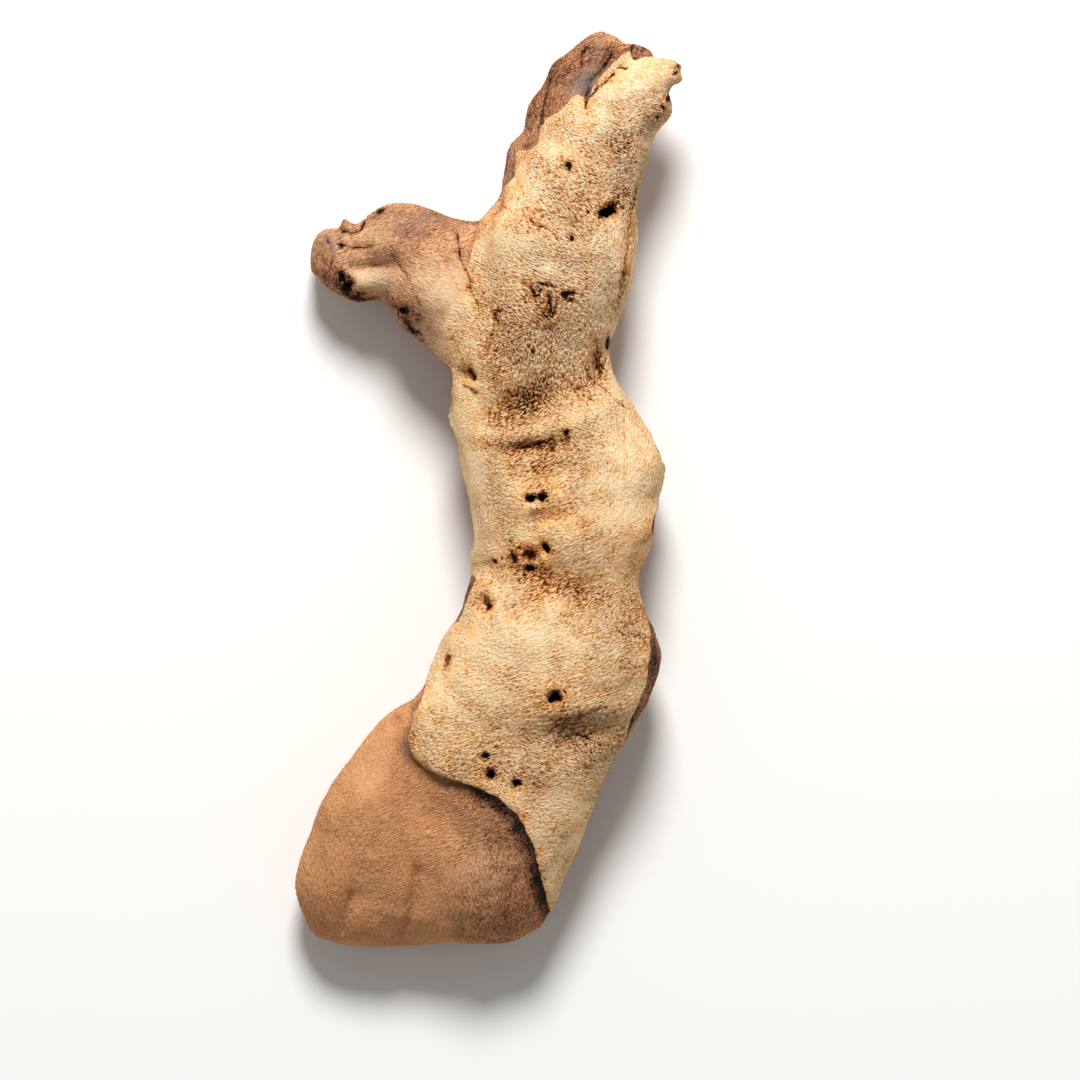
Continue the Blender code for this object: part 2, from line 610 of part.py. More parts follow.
def carve(points, normals):
    """Moves the blank's points to give the piece its swells, flutes, sapwood edge and holes."""
    carved = points.copy()
    faces_up = smooth_step(0.1, 0.6, normals[:, 2])
    faces_down = smooth_step(0.1, 0.6, -normals[:, 2])
    for swell in FRONT_SWELLS:
        reach = footprint(points, swell, swell.half_x, swell.half_y)
        carved[:, 2] += faces_up * swell.height * np.exp(-(reach**2))
    for swell in BACK_SWELLS:
        reach = footprint(points, swell, swell.half_x, swell.half_y)
        carved[:, 2] += faces_down * swell.height * np.exp(-(reach**2))

    in_branch = smooth_step(-2.0, -14.0, points[:, 0]) * smooth_step(28.0, 40.0, points[:, 1])
    in_sapwood = sapwood_depth(points)
    heart = smooth_step(1.0, -1.0, in_sapwood)
    along_y = noise_at(points, (7.0, 45.0, 7.0), 21.0) + 0.5 * noise_at(points, (3.5, 26.0, 3.5), 5.0)
    along_x = noise_at(points, (40.0, 8.0, 8.0), 33.0) + 0.5 * noise_at(points, (24.0, 4.0, 4.0), 9.0)
    flutes = along_y + in_branch * (along_x - along_y)
    lumps = 0.9 * noise_at(points, (16.0, 20.0, 16.0), 42.0) + 0.5 * noise_at(points, (6.0, 8.0, 6.0), 17.0)
    side_hold = 0.35 + 0.65 * np.abs(normals[:, 2])
    step = SAPWOOD_STEP * (smooth_step(-STEP_SLOPE, STEP_SLOPE, in_sapwood) - 0.5)
    at_root = np.exp(-(footprint(points, BRANCH_ROOT, BRANCH_ROOT.half_x, BRANCH_ROOT.half_y) ** 4))
    step_hold = (0.6 + 0.4 * np.abs(normals[:, 2])) * (1.0 - at_root)
    amount = side_hold * (lumps + heart * 1.1 * flutes) + step_hold * step

    for groove in GROOVES:
        away = line_distance(points, groove.through) / groove.half_width
        amount -= faces_up * groove.depth * np.exp(-(away**2))
    for hole in HOLES:
        reach = footprint(points, hole, hole.radius_x, hole.radius_y)
        amount -= faces_up * hole.depth * np.exp(-(reach**4))
        amount += faces_up * hole.lip * np.exp(-(((reach - 2.0) / 0.7) ** 2))
    return carved + normals * amount[:, None]


def settled(points):
    """Lowers the back round three spots until each of them is just under the table."""
    height = points[:, 2] - points[:, 2].min() + REST_DEPTH
    underside = smooth_step(22.0, 8.0, height)
    places = [np.hypot(points[:, 0] - f.x, points[:, 1] - f.y) / f.radius for f in REST_POINTS]
    falls = [underside * np.exp(-(away**2)) for away in places]
    near = [away < 0.25 for away in places]
    for _ in range(4):
        for fall, spot in zip(falls, near):
            height = height - (height[spot].min() + REST_DEPTH) * fall
    return np.column_stack([points[:, :2], height])


def centred(points):
    """Puts the middle of the piece over the origin and gives it its stated length and width."""
    low, high = points.min(axis=0), points.max(axis=0)
    middle = (low + high) / 2
    scale = np.array([WIDTH / (high[0] - low[0]), LENGTH / (high[1] - low[1]), 1.0])
    return (points - [middle[0], middle[1], 0.0]) * scale


def thinned(mesh, triangles):
    """The same skin with fewer, larger triangles where it is smooth."""
    carrier = bpy.data.objects.new("carrier", mesh)
    bpy.context.scene.collection.objects.link(carrier)
    decimate = carrier.modifiers.new("thin", "DECIMATE")
    mesh.calc_loop_triangles()
    decimate.ratio = triangles / len(mesh.loop_triangles)
    graph = bpy.context.evaluated_depsgraph_get()
    made = bpy.data.meshes.new_from_object(carrier.evaluated_get(graph))
    bpy.data.objects.remove(carrier)
    return made


def cut_flat(mesh):
    """Cuts the three low spots off level with the table, so that the piece stands on flats."""
    cut = bmesh.new()
    cut.from_mesh(mesh)
    everything = cut.verts[:] + cut.edges[:] + cut.faces[:]
    made = bmesh.ops.bisect_plane(
        cut, geom=everything, plane_co=(0, 0, 0), plane_no=(0, 0, -1), clear_outer=True
    )
    rim = [g for g in made["geom_cut"] if isinstance(g, bmesh.types.BMEdge)]
    bmesh.ops.holes_fill(cut, edges=rim)
    bmesh.ops.triangulate(cut, faces=cut.faces[:])
    bmesh.ops.recalc_face_normals(cut, faces=cut.faces[:])
    cut.to_mesh(mesh)
    cut.free()


def wood_material():
    """Pale blasted mopani sapwood."""
    material = bpy.data.materials.new("mopani")
    material.use_nodes = True
    shader = material.node_tree.nodes["Principled BSDF"]
    shader.inputs["Base Color"].default_value = (0.63, 0.42, 0.22, 1.0)
    shader.inputs["Roughness"].default_value = 0.85
    shader.inputs["Metallic"].default_value = 0.0
    return material


def build_wood():
    """Makes the piece as one object."""
    blank = bmesh.new()
    loft(blank, STEM)
    loft(blank, ARM_HEART)
    loft(blank, FOOT)
    loft(blank, STUB)
    loft(blank, BRANCH, runs_along_x=True)
    joined = bpy.data.meshes.new("limbs")
    blank.to_mesh(joined)
    blank.free()

    skin = remeshed(joined, BLANK_VOXEL)
    points, _ = points_of(skin)
    set_points(skin, relaxed(skin, points, 6))
    points, normals = points_of(skin)
    set_points(skin, carve(points, normals))

    skin = remeshed(skin, CARVED_VOXEL)
    points, _ = points_of(skin)
    points = relaxed(skin, points, 2)
    set_points(skin, settled(centred(points)))
    skin = thinned(skin, TRIANGLES)
    points, _ = points_of(skin)
    set_points(skin, centred(points) * MM)
    cut_flat(skin)

    skin.name = "mopani_wood"
    wood = bpy.data.objects.new("mopani_wood", skin)
    bpy.context.scene.collection.objects.link(wood)
    skin.shade_smooth()
    skin.materials.clear()
    skin.materials.append(wood_material())
    return wood


for old in list(bpy.data.objects):
    bpy.data.objects.remove(old, do_unlink=True)
build_wood()
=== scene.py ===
"""The looks of one weathered piece of mopani wood, laid on a pale table and seen from above.

The wood is a stem of dark heartwood under a skin of pale, sand-blasted sapwood. It forks at the top
into a broken arm and a short left branch that ends in a burl, and its foot flares to the left. All
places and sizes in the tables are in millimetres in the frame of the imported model: +X to the right,
+Y towards the broken arm, +Z up from the table.
"""

import logging
import math
from collections.abc import Iterator, Sequence
from dataclasses import dataclass, field
from enum import Enum
from itertools import product

import bmesh
import bpy
import numpy as np
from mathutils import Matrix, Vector, noise


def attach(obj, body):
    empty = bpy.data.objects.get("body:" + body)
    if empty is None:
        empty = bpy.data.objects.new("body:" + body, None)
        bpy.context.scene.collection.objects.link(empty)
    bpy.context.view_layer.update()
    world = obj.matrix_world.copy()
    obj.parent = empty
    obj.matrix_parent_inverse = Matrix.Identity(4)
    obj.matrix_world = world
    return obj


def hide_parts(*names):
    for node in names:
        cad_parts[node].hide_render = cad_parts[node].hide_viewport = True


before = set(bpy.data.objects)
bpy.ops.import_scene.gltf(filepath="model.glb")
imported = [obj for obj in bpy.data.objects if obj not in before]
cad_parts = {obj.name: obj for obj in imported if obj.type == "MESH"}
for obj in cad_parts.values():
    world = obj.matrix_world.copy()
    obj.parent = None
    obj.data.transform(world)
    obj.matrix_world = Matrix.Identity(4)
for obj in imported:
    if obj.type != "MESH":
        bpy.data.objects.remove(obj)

LOG = logging.getLogger("mopani")
MM = 0.001

Array = np.ndarray
Corners = tuple[tuple[float, float], ...]


# Small helpers for arrays of points in millimetres.


def smooth_step(low: float, high: float, value: Array) -> Array:
    """Rises smoothly from 0 to 1 as the value goes from low to high, in either direction."""
    share = np.clip((value - low) / (high - low), 0.0, 1.0)
    return share * share * (3.0 - 2.0 * share)


def noise_at(points: Array, stretch: tuple[float, float, float], seed: float) -> Array:
    """Reads smooth noise from -1 to 1 at each point; its features are as long as the stretch."""
    scaled = points / np.array(stretch) + seed
    return np.array([noise.noise(Vector(place)) for place in scaled.tolist()])


def line_distance(points: Array, corners: Corners) -> Array:
    """Measures how far points lie from a bent line, as looked down on.

    Args:
        points: Places in millimetres.
        corners: The line's corners in XY.

    Returns:
        Distances in millimetres.
    """
    nearest = np.full(len(points), np.inf)
    place = points[:, :2]
    ends = np.array(corners, float)
    for start, end in zip(ends, ends[1:]):
        run = end - start
        share = np.clip((place - start) @ run / (run @ run), 0.0, 1.0)
        gap = place - start - share[:, None] * run
        nearest = np.minimum(nearest, np.hypot(gap[:, 0], gap[:, 1]))
    return nearest


def inside_outline(points: Array, outline: Corners) -> Array:
    """Measures how deep points lie inside a closed outline, as looked down on.

    Args:
        points: Places in millimetres.
        outline: The outline's corners in XY.

    Returns:
        Distances to the outline in millimetres, below zero outside it.
    """
    closed = outline + outline[:1]
    x, y = points[:, 0], points[:, 1]
    inside = np.zeros(len(points), bool)
    for (start_x, start_y), (end_x, end_y) in zip(closed, closed[1:]):
        if start_y != end_y:
            crosses = (start_y > y) != (end_y > y)
            inside ^= crosses & (x < start_x + (y - start_y) * (end_x - start_x) / (end_y - start_y))
    nearest = line_distance(points, closed)
    return np.where(inside, nearest, -nearest)


def unit(vectors: Array) -> Array:
    """Scales each row to length one."""
    return vectors / np.maximum(np.linalg.norm(vectors, axis=1), 1e-9)[:, None]


@dataclass(frozen=True)
class Spot:
    """A soft round or oval place on the wood, as looked down on.

    It may be a stain, a worn place, a patch of painted shade or painted highlight, or a patch where
    the surface is rougher than elsewhere.
    """

    x: float
    y: float
    half_x: float
    half_y: float
    turn_deg: float = 0.0
    strength: float = 1.0

    def reach(self, points: Array) -> Array:
        """Gives each point's distance from the middle, in the spot's own half sizes."""
        turn = math.radians(self.turn_deg)
        dx = points[:, 0] - self.x
        dy = points[:, 1] - self.y
        along = (dx * math.cos(turn) + dy * math.sin(turn)) / self.half_x
        across = (dy * math.cos(turn) - dx * math.sin(turn)) / self.half_y
        return np.hypot(along, across)

    def share(self, points: Array) -> Array:
        """Gives the spot's strength at each point, which fades outwards."""
        return self.strength * np.exp(-(self.reach(points) ** 2))


def spots_share(points: Array, spots: Sequence[Spot]) -> Array:
    """Lays soft spots over each other.

    Args:
        points: Places in millimetres.
        spots: The spots.

    Returns:
        The joint strength, from 0 to 1.
    """
    bare = np.ones(len(points))
    for spot in spots:
        bare *= 1.0 - np.clip(spot.share(points), 0.0, 1.0)
    return 1.0 - bare


@dataclass(frozen=True)
class Pit:
    """A knot hole or pit: mouth, depth, dark inside (painted shade, partly knot wood), stain and lip round
    it.
    """

    x: float
    y: float
    half_x: float
    half_y: float
    turn_deg: float
    depth: float
    dark: float = 1.0
    halo: float = 0.5
    lip: float = 0.0
    ragged: float = 0.25

    def reach(self, points: Array) -> Array:
        """Gives each point's distance from the middle in half sizes, with a ragged rim."""
        spot = Spot(self.x, self.y, self.half_x, self.half_y, self.turn_deg)
        size = 0.45 * (self.half_x + self.half_y)
        rim = noise_at(points, (size, size, 6.0), 51.0 + self.x)
        rim += 0.9 * noise_at(points, (0.4 * size, 0.4 * size, 6.0), 57.0 + self.y)
        return spot.reach(points) * (1.0 + self.ragged * rim)

    def near(self, points: Array) -> Array:
        """Lists the points that the pit can touch."""
        span = 3.2 * max(self.half_x, self.half_y)
        close = (np.abs(points[:, 0] - self.x) < span) & (np.abs(points[:, 1] - self.y) < span)
        return np.flatnonzero(close)


@dataclass(frozen=True)
class Crack:
    """A crack, crease, fold or torn edge: the points it runs through, half width, depth and darkness.

    A depth below zero is a ridge. Its darkness is painted shade.
    """

    through: Corners
    half_width: float
    depth: float
    dark: float = 0.6
    wander: float = 0.5

    def reach(self, points: Array) -> Array:
        """Gives each point's distance from the crack in half widths; the crack wavers and narrows."""
        size = (2.4, 2.4, 8.0)
        sway = np.column_stack([noise_at(points, size, 71.0), noise_at(points, size, 83.0)])
        moved = points.copy()
        moved[:, :2] += self.wander * sway
        width = self.half_width * (1.0 + 0.35 * noise_at(points, (3.5, 3.5, 8.0), 91.0))
        return line_distance(moved, self.through) / width

    def near(self, points: Array) -> Array:
        """Lists the points that the crack can touch."""
        ends = np.array(self.through)
        low = ends.min(axis=0) - 4.0 * self.half_width - 1.0
        high = ends.max(axis=0) + 4.0 * self.half_width + 1.0
        close = ((points[:, :2] > low) & (points[:, :2] < high)).all(axis=1)
        return np.flatnonzero(close)


@dataclass(frozen=True)
class Stroke:
    """The direction that wrinkles or fibres take round one place, in degrees from +X."""

    x: float
    y: float
    direction_deg: float


@dataclass(frozen=True)
class Nick:
    """A bite out of the wood's outline, or a splinter where the depth is below zero."""

    x: float
    y: float
    radius: float
    depth: float

    def shift(self, points: Array) -> Array:
        """Gives how far each point moves in XY, away from the nick's middle."""
        away = points[:, :2] - np.array([self.x, self.y])
        gap = np.linalg.norm(away, axis=1)
        amount = self.depth * np.exp(-((gap / self.radius) ** 2))
        return away / np.maximum(gap, 0.3)[:, None] * amount[:, None]


def rows_of(kind: type, *rows: tuple) -> tuple:
    """Makes one record of a kind from each row of its fields."""
    return tuple(kind(*row) for row in rows)


# What the photograph shows on the front, in millimetres.

# Knot holes and pits.
PITS = rows_of(
    Pit,
    # Near the top of the arm and across the bulge below it.
    (33.9, 77.7, 2.1, 1.6, 35, 3, 1, 0.75, 0.3, 0.8), (31.9, 76.9, 1, 0.8, 10, 1.5, 1, 0.4, 0, 0.4),
    (22.7, 90, 0.9, 0.75, -20, 1.5, 1, 0.9, 0.3, 0.4), (23.5, 69.6, 0.5, 1, 8, 1.2, 0.9, 0.4, 0, 0.2),
    (17, 52.2, 1.7, 3.7, 6, 0.5, 0.25, 0.1, 0.9, 0.2), (15.6, 56.8, 2.4, 0.4, -12, 1, 0.75, 0.4, 0, 0.5),
    (22.6, 54.6, 1.7, 0.55, 5, 1, 0.8, 0.5, 0, 0.9), (21.4, 53.6, 0.7, 1.6, 20, 0.8, 0.8, 0.5, 0, 0.7),
    (23.4, 52.6, 0.9, 0.6, -30, 0.6, 0.6, 0.5, 0.2, 0.6), (3.2, 49.6, 1.2, 0.7, 10, 0.6, 0.5, 0.6, 0, 0.8),
    (2.2, 47.6, 0.8, 0.9, 10, 0.6, 0.5, 0.6, 0, 0.8), (12.7, 38.2, 0.5, 0.9, 25, 0.9, 0.8, 0.4, 0, 0.3),
    (22, 15.8, 0.7, 0.9, -30, 1.2, 1, 0.7, 0.1, 0.3),
    # The paired holes in the waist, and the pits below them.
    (12, -2.4, 1.15, 1.1, 0, 1.5, 1, 0.5, 0.5, 0.7), (15.1, -2.2, 1.15, 1.05, 0, 1.5, 1, 0.5, 0.5, 0.8),
    (14, 0.6, 0.9, 0.35, 0, 0.6, 0.9, 0.3, 0, 0.2), (16.4, -16.1, 0.75, 1.9, 31, 1.5, 1, 0.5, 0, 0.3),
    (11.9, -17.9, 1.9, 1.6, 0, 0.7, 0.6, 0.9, 0, 0.9), (11.9, -21.8, 1.3, 0.8, 0, 1.4, 1, 0.6, 0.2, 0.3),
    (7.3, -19, 0.8, 2, 10, 0.8, 0.65, 0.9, 0, 0.9), (2.2, -19.9, 0.85, 0.45, -50, 1, 1, 0.5, 0.1, 0.3),
    # Knots down the left of the lower bulge, the star-shaped hole and the three pits under it.
    (-0.2, -31, 1.4, 2.2, 15, 0.7, 0.44, 0.45, 0.3, 0.9), (0.4, -32.6, 0.7, 0.7, 15, 0.9, 0.8, 0.5, 0, 0.8),
    (-11.2, -47.4, 0.8, 1.6, -15, 0.8, 0.6, 0.6, 0.2, 0.8),
    (18.9, -57.2, 1.5, 1.4, 10, 2.6, 1, 0.75, 0.7, 0.9), (-0.4, -74, 1, 0.8, 0, 1.2, 1, 0.5, 0.2, 0.4),
    (1.2, -79.1, 1, 1.3, 0, 1.2, 0.85, 0.6, 0.2, 0.5), (8.2, -81.6, 1.2, 0.9, 0, 1.2, 0.95, 0.6, 0.2, 0.4),
    # The knot on the stem's right side, and the crumbling end of the arm.
    (33.7, 40.8, 0.9, 2, 0, 0.6, 1, 0.5, 0, 0.5), (52.9, 112.9, 0.8, 0.5, 20, 0.8, 0.85, 0.8, 0.2, 0.6),
    (51.4, 111.3, 0.6, 0.8, 0, 0.8, 0.8, 0.8, 0.2, 0.6),
    (50.4, 109.2, 0.7, 1, -30, 0.9, 0.9, 0.8, 0.2, 0.6),
    (52.4, 116.1, 0.9, 0.5, 30, 0.8, 0.85, 0.8, 0.2, 0.6),
    (53.2, 118, 0.6, 0.4, 0, 0.6, 0.8, 0.7, 0.1, 0.6), (49, 106.6, 0.8, 0.5, -40, 0.7, 0.8, 0.8, 0.2, 0.6),
    (47.4, 103.8, 0.5, 0.9, -30, 0.6, 0.7, 0.7, 0.2, 0.6),
    # The branch and its burl.
    (-40.9, 59.8, 0.8, 1.2, 10, 1.4, 1, 0.8, 0.2, 0.8), (-39.3, 57.3, 1.1, 1.1, 20, 1.4, 1, 0.8, 0.2, 0.9),
    (-37.5, 58.2, 1, 0.9, 0, 0.6, 0.35, 0.4, 0.2, 0.8), (-36.4, 53.9, 2, 0.8, -8, 1, 0.8, 0.8, 0, 0.9),
    (-39.9, 55.6, 1.6, 0.8, -30, 0.7, 0.55, 0.8, 0.1, 0.8), (-41, 68.7, 0.6, 0.6, 0, 0.8, 0.8, 0.5, 0, 0.6),
    (-30.2, 78.1, 1.4, 0.6, 15, 0.7, 0.75, 0.7, 0, 0.8),
    (-23.7, 50.4, 1.5, 0.7, -20, 1.2, 0.9, 0.8, 0.2, 0.9),
    (-22.4, 46.9, 1.4, 0.8, -40, 0.9, 0.45, 0.6, 0, 0.9),
    (-21.2, 44.9, 1.6, 0.8, -30, 1.2, 0.8, 0.8, 0.2, 0.9), (-19, 47, 2, 1.4, -30, 0.5, 0.28, 0.3, 0.1, 0.9),
)

# Cracks, creases, folds and the torn sliver.
CRACKS = rows_of(
    Crack,
    # The seam between the branch and the stem.
    (((-8.6, 72.2), (-8, 68.6), (-7.5, 64.4), (-6.4, 61.6)), 0.3, 0.8, 0.9, 0.2),
    (((-6.4, 61.6), (-5, 58.8), (-4.7, 56), (-2.7, 51.8)), 0.3, 0.6, 0.75, 0.3),
    # The burl and the branch.
    (((-41.6, 68.7), (-38.2, 67.9), (-34.2, 67.6), (-31.7, 68.4)), 0.36, 0.7, 0.8, 0.4),
    (((-40.7, 72.4), (-38.2, 71.9), (-35.6, 72.7), (-34.6, 74.9)), 0.4, 0.8, 0.8, 0.3),
    (((-38.4, 62.2), (-34.2, 62.4), (-30.2, 63.1), (-27.2, 62.9)), 0.7, 0.6, 0.2),
    (((-26.7, 65.9), (-24.2, 61.9), (-21.6, 57.9), (-20.2, 53.9), (-18.2, 51)), 0.28, 0.5, 0.5),
    (((-45.5, 70.6), (-43.2, 66.4), (-44, 62), (-42.8, 58.6)), 0.4, 0.7, 0.55, 0.6),
    (((-47.2, 66.8), (-45.6, 63), (-45.8, 59.4)), 0.34, 0.6, 0.55, 0.6),
    # Creases across the bulge under the arm.
    (((3.8, 79.4), (6.4, 77.4), (7.4, 74.9)), 0.32, 0.45, 0.55, 0.4),
    (((10.8, 75.9), (13.8, 72.9), (16.9, 72.4), (19.9, 69.4)), 0.4, 0.6, 0.7),
    (((7.6, 88), (9, 84.5), (10.4, 82)), 0.28, 0.4, 0.4, 0.4),
    (((41.2, 85), (40.7, 79.8), (39.1, 70.6), (38.6, 62.7), (37.7, 55.2)), 0.32, 0.5, 0.5, 0.6),
    (((38.7, 66), (37.6, 60), (36.6, 54.4), (35.4, 49.6)), 0.32, 0.5, 0.45, 0.7),
    (((12.1, 56.2), (12.9, 54.9), (13.3, 53)), 0.4, 0.8, 0.85, 0.2),
    (((17.2, 53.6), (17.7, 49.4)), 0.34, 1.2, 1, 0.1),
    (((15.2, 56.6), (14.5, 54.4), (14.5, 51.4), (15.4, 48.8), (16.8, 47.6)), 0.4, 0.6, 0.85, 0.2),
    (((17.6, 56.8), (19, 55.4), (19.4, 52.6), (18.9, 49.6), (17.8, 47.8)), 0.38, 0.6, 0.75, 0.2),
    (((17.7, 46), (17.6, 41.5), (17.8, 37.6)), 0.24, 0.3, 0.4, 0.3),
    # The two folds at the left of the waist.
    (((-7.6, 34), (-5.8, 32.4), (-3.6, 31)), 1.3, 0.9, 0.62, 0.6),
    (((-5, 33.6), (-3.8, 31.6)), 0.7, 0.6, 0.8),
    (((-6.4, 29.2), (-4.6, 27.8), (-2.8, 27)), 0.8, 0.7, 0.62),
    # Folds that gather in the waist on the right.
    (((30, 41.6), (30.9, 36.9), (31.6, 31.2)), 0.8, 1, 0.4, 0.8),
    (((28.2, 36.8), (28.8, 33), (30, 29.6)), 0.48, 0.6, 0.35, 0.8),
    (((26.6, 35.3), (28.2, 31.6), (31.4, 28.6), (34, 26.9), (37.7, 23)), 0.36, 0.8, 0.62, 0.4),
    (((22.9, 29.7), (24.6, 27.2), (26.6, 26), (29.8, 24.6)), 0.32, 0.6, 0.7, 0.4),
    (((35.9, 26.9), (38.2, 22.7), (38, 16.2), (38.6, 8.8), (38.2, 0)), 0.28, 0.5, 0.5, 0.4),
    # The painted shadow under the waist's ridge, as a dark shallow groove.
    (((7.5, 11.4), (11.5, 11.6), (15, 12.6), (18.3, 14)), 0.6, 0.5, 0.62, 0.9),
    # Short lines below the waist and the dark crease over the root end.
    (((35.9, -37), (39, -37.1), (42, -36.7)), 0.28, 0.5, 0.6, 0.3),
    (((39.9, -40.7), (43.9, -41.2)), 0.28, 0.5, 0.6, 0.3),
    (((14.9, -63.3), (19.4, -64), (25.5, -63)), 0.34, 0.6, 0.6, 0.7),
    (((25.5, -63), (29.9, -61), (33.9, -60.5)), 0.32, 0.5, 0.55, 0.8),
    (((18, -66.4), (21.9, -64.4), (28.4, -62.2)), 0.32, 0.5, 0.5, 0.8),
    (((20.6, -69.4), (24.4, -68), (28.8, -68.8)), 0.36, 0.5, 0.5, 0.9),
    (((10.6, -66.8), (14.6, -66), (18.4, -67.6)), 0.28, 0.4, 0.4, 0.8),
    (((27, -71.4), (30.2, -70.2), (33.4, -71.4)), 0.28, 0.4, 0.4, 0.8),
    # Checks in the heartwood of the arm, the splits beside the torn sliver, and the sliver itself.
    (((34.7, 121.9), (32.1, 117.7), (28.6, 113.8), (27.4, 109.6), (27.4, 106.1)), 0.4, 1.1, 0.8, 0.4),
    (((28.6, 109.5), (30.3, 112), (33.4, 114.2), (36.5, 117.6), (39, 117.6)), 0.48, 0.9, 0.75, 0.6),
    (((29.6, 112.4), (32.2, 115.3), (35.4, 118.8), (37.6, 120.8)), 0.8, -0.6, 0, 0.4),
    (((27.8, 124.1), (25.7, 120.7), (26.4, 118.5)), 0.32, 0.7, 0.75, 0.4),
    (((33.6, 123.6), (32.6, 121), (31.4, 118.4)), 0.32, 0.6, 0.7),
    (((17.6, 114.7), (16.3, 110.4), (15.4, 105.3), (14.9, 101.9)), 0.32, 0.7, 0.65),
    (((6, 98.6), (5.6, 94), (4.8, 89)), 0.34, 0.6, 0.65, 0.4),
    (((41, 125.6), (40.2, 122.8), (38.8, 121.2)), 0.4, 0.8, 0.85, 0.3),
    (((45.4, 125.2), (43.6, 123.4), (42.6, 121.8)), 0.36, 0.6, 0.8, 0.3),
)

# Bites and splinters along the outline: at the arm's torn tip, its heartwood and the burl's horn.
NICKS = rows_of(
    Nick,
    (52.6, 111.6, 2, 1.6), (54.4, 117, 0.9, 1.2), (56, 119.8, 1.8, -1), (55.6, 114.8, 1.6, -0.9),
    (53.8, 107.8, 1.8, -0.8), (39.2, 127.6, 2.2, 1.6), (43.6, 127.6, 1.8, -0.7), (46.6, 126.8, 1.4, -0.6),
    (32, 131.2, 3, -0.6), (-41.6, 79.6, 2, -1.3), (-43.4, 76, 1.6, 1), (-36, 77.4, 1.6, 0.8),
    (-48.8, 58.6, 1.6, 0.8), (-50.6, 61, 1.4, -0.6), (7.2, 101.6, 2, 0.8), (-2.2, 79, 1.4, 0.6),
)

# Brown to black soft spots: partly stain, partly painted shade in hollows, under the waist's ridge
# and where the surface turns away from the light.
STAINS_AND_SHADE = rows_of(
    Spot,
    (9.2, 24.2, 8.4, 4.6, 24), (3, 19.5, 6, 3, 20, 0.3), (3.4, 38, 7.5, 6.5, 0, 0.28),
    (15.9, 30.4, 2.2, 3.2, -15, 0.5), (2.5, 31, 1.3, 3.8, -15, 0.55), (30.9, 36.1, 1.7, 5.4, 8, 0.98),
    (28, 30, 4, 4.5, -30, 0.25), (13.4, 11.9, 6.2, 2.1, 9), (6.4, 12, 9, 1.8, 0, 0.9),
    (21.6, 14.6, 2.6, 1.2, 30, 0.4), (15.5, 6.4, 6.5, 1.5, 5, 0.65), (15, 4.6, 9, 4.5, 0, 0.25),
    (16.8, -5.6, 4, 1.6, 25, 0.4), (4, 13.4, 8, 1.2, -3, 0.45), (14, 52.5, 5, 6.5, 0, 0.3),
    (11, 74, 8, 5, 0, 0.28), (24, 91, 9, 6, 0, 0.3), (22.4, 54, 3.4, 3, 0, 0.5), (6, 46, 8, 3, 25, 0.3),
    (24.5, -68, 7.5, 4.5, 0, 0.34), (31, -74, 9, 7.5, 0, 0.3), (19.5, -26.2, 11, 4, -14),
    (16, -24.5, 6, 3, -10, 0.75), (30, -30, 6, 4, -20, 0.12), (43.6, -24, 3, 8, 10, 0.3),
    (15, -59, 4, 2, -20, 0.3), (38.6, 97.6, 6.4, 1.5, 14, 0.6), (37.2, 95, 4.4, 1.4, 12, 0.25),
    (37.2, 82.6, 3.4, 2.2, 35, 0.55), (49.8, 107, 1.8, 3.6, -35, 0.75), (45.6, 104.4, 2.2, 2.6, -30, 0.4),
    (20, -7, 5, 1.4, 20, 0.4), (11, -19, 5.5, 3.4, -15, 0.4), (-0.2, -31.6, 2.4, 3, 15, 0.15),
    (38.5, 62, 1.8, 13, -8, 0.35), (1, -79, 4, 3, 0, 0.3),
)

# Heartwood that has gone dark.
DARK = rows_of(
    Spot,
    (-40, 57, 4.5, 3.4, 0, 0.3), (-20, 45.6, 7.4, 4.4, -45, 0.15), (-24.6, -63.6, 1.8, 1.8, 0, 0.7),
    (-22, -76, 3.2, 3.2, 0, 0.25), (12, 106, 2.5, 7, -20, 0.3), (22, 112, 18, 16, 60, 0.35),
    (36, 124.5, 11, 4.5, 0, 0.35), (47, -46, 3, 16, 0, 0.95), (43, -66, 3, 10, -20, 0.8),
    (-6.8, -29, 3.5, 9, 10, 0.9), (48.6, 11, 2.5, 5), (47.4, -9, 2.5, 5),
)

# Cool, purplish grey heartwood.
COOL = rows_of(
    Spot,
    (-20.4, 74.6, 9.5, 4.6, 10, 0.42), (-43.6, 69.7, 3.5, 2.8, 0, 0.5), (26.9, 113.6, 5.4, 3, 42),
    (31, 124.2, 2, 3, 0, 0.45), (-19, 45.8, 5, 5.4, -40, 0.25), (-23.4, -72.8, 1.8, 4.4, 0, 0.3),
    (6, 91, 2, 8, 0, 0.35),
)

# Heartwood worn to a pale tan.
TAN = rows_of(
    Spot,
    (-11.5, 55.5, 7, 11, -15), (-17.5, 63, 5.5, 5, 0, 0.6), (-32.2, 58.9, 7, 3.6, 4),
    (-31, 71.5, 6, 3, 10, 0.35), (-12, 40, 6, 6, 0, 0.7), (-17, 47.5, 3, 3, 0, 0.4),
    (-34, -82, 4, 8, -50, 0.35), (34, 126, 6, 3, 0, 0.35),
)

# Sapwood painted almost white: partly bleached wood, partly painted highlight on bulges that face the light.
BLEACH_AND_HIGHLIGHT = rows_of(
    Spot,
    (41.5, 115, 9.5, 5.4, 15, 0.3), (31, 52, 6, 7, 0, 0.5), (2.8, -43.4, 18, 14, 0, 0.8),
    (39, 5.6, 6.5, 18, 0, 0.45), (-5, 4, 4.6, 20, -8, 0.45), (10, -75, 12, 5, 0, 0.8),
    (34, -49, 7, 9, 0, 0.75), (36, 68, 5, 7, 0, 0.9), (30, 21, 7, 5, 20, 0.35),
)

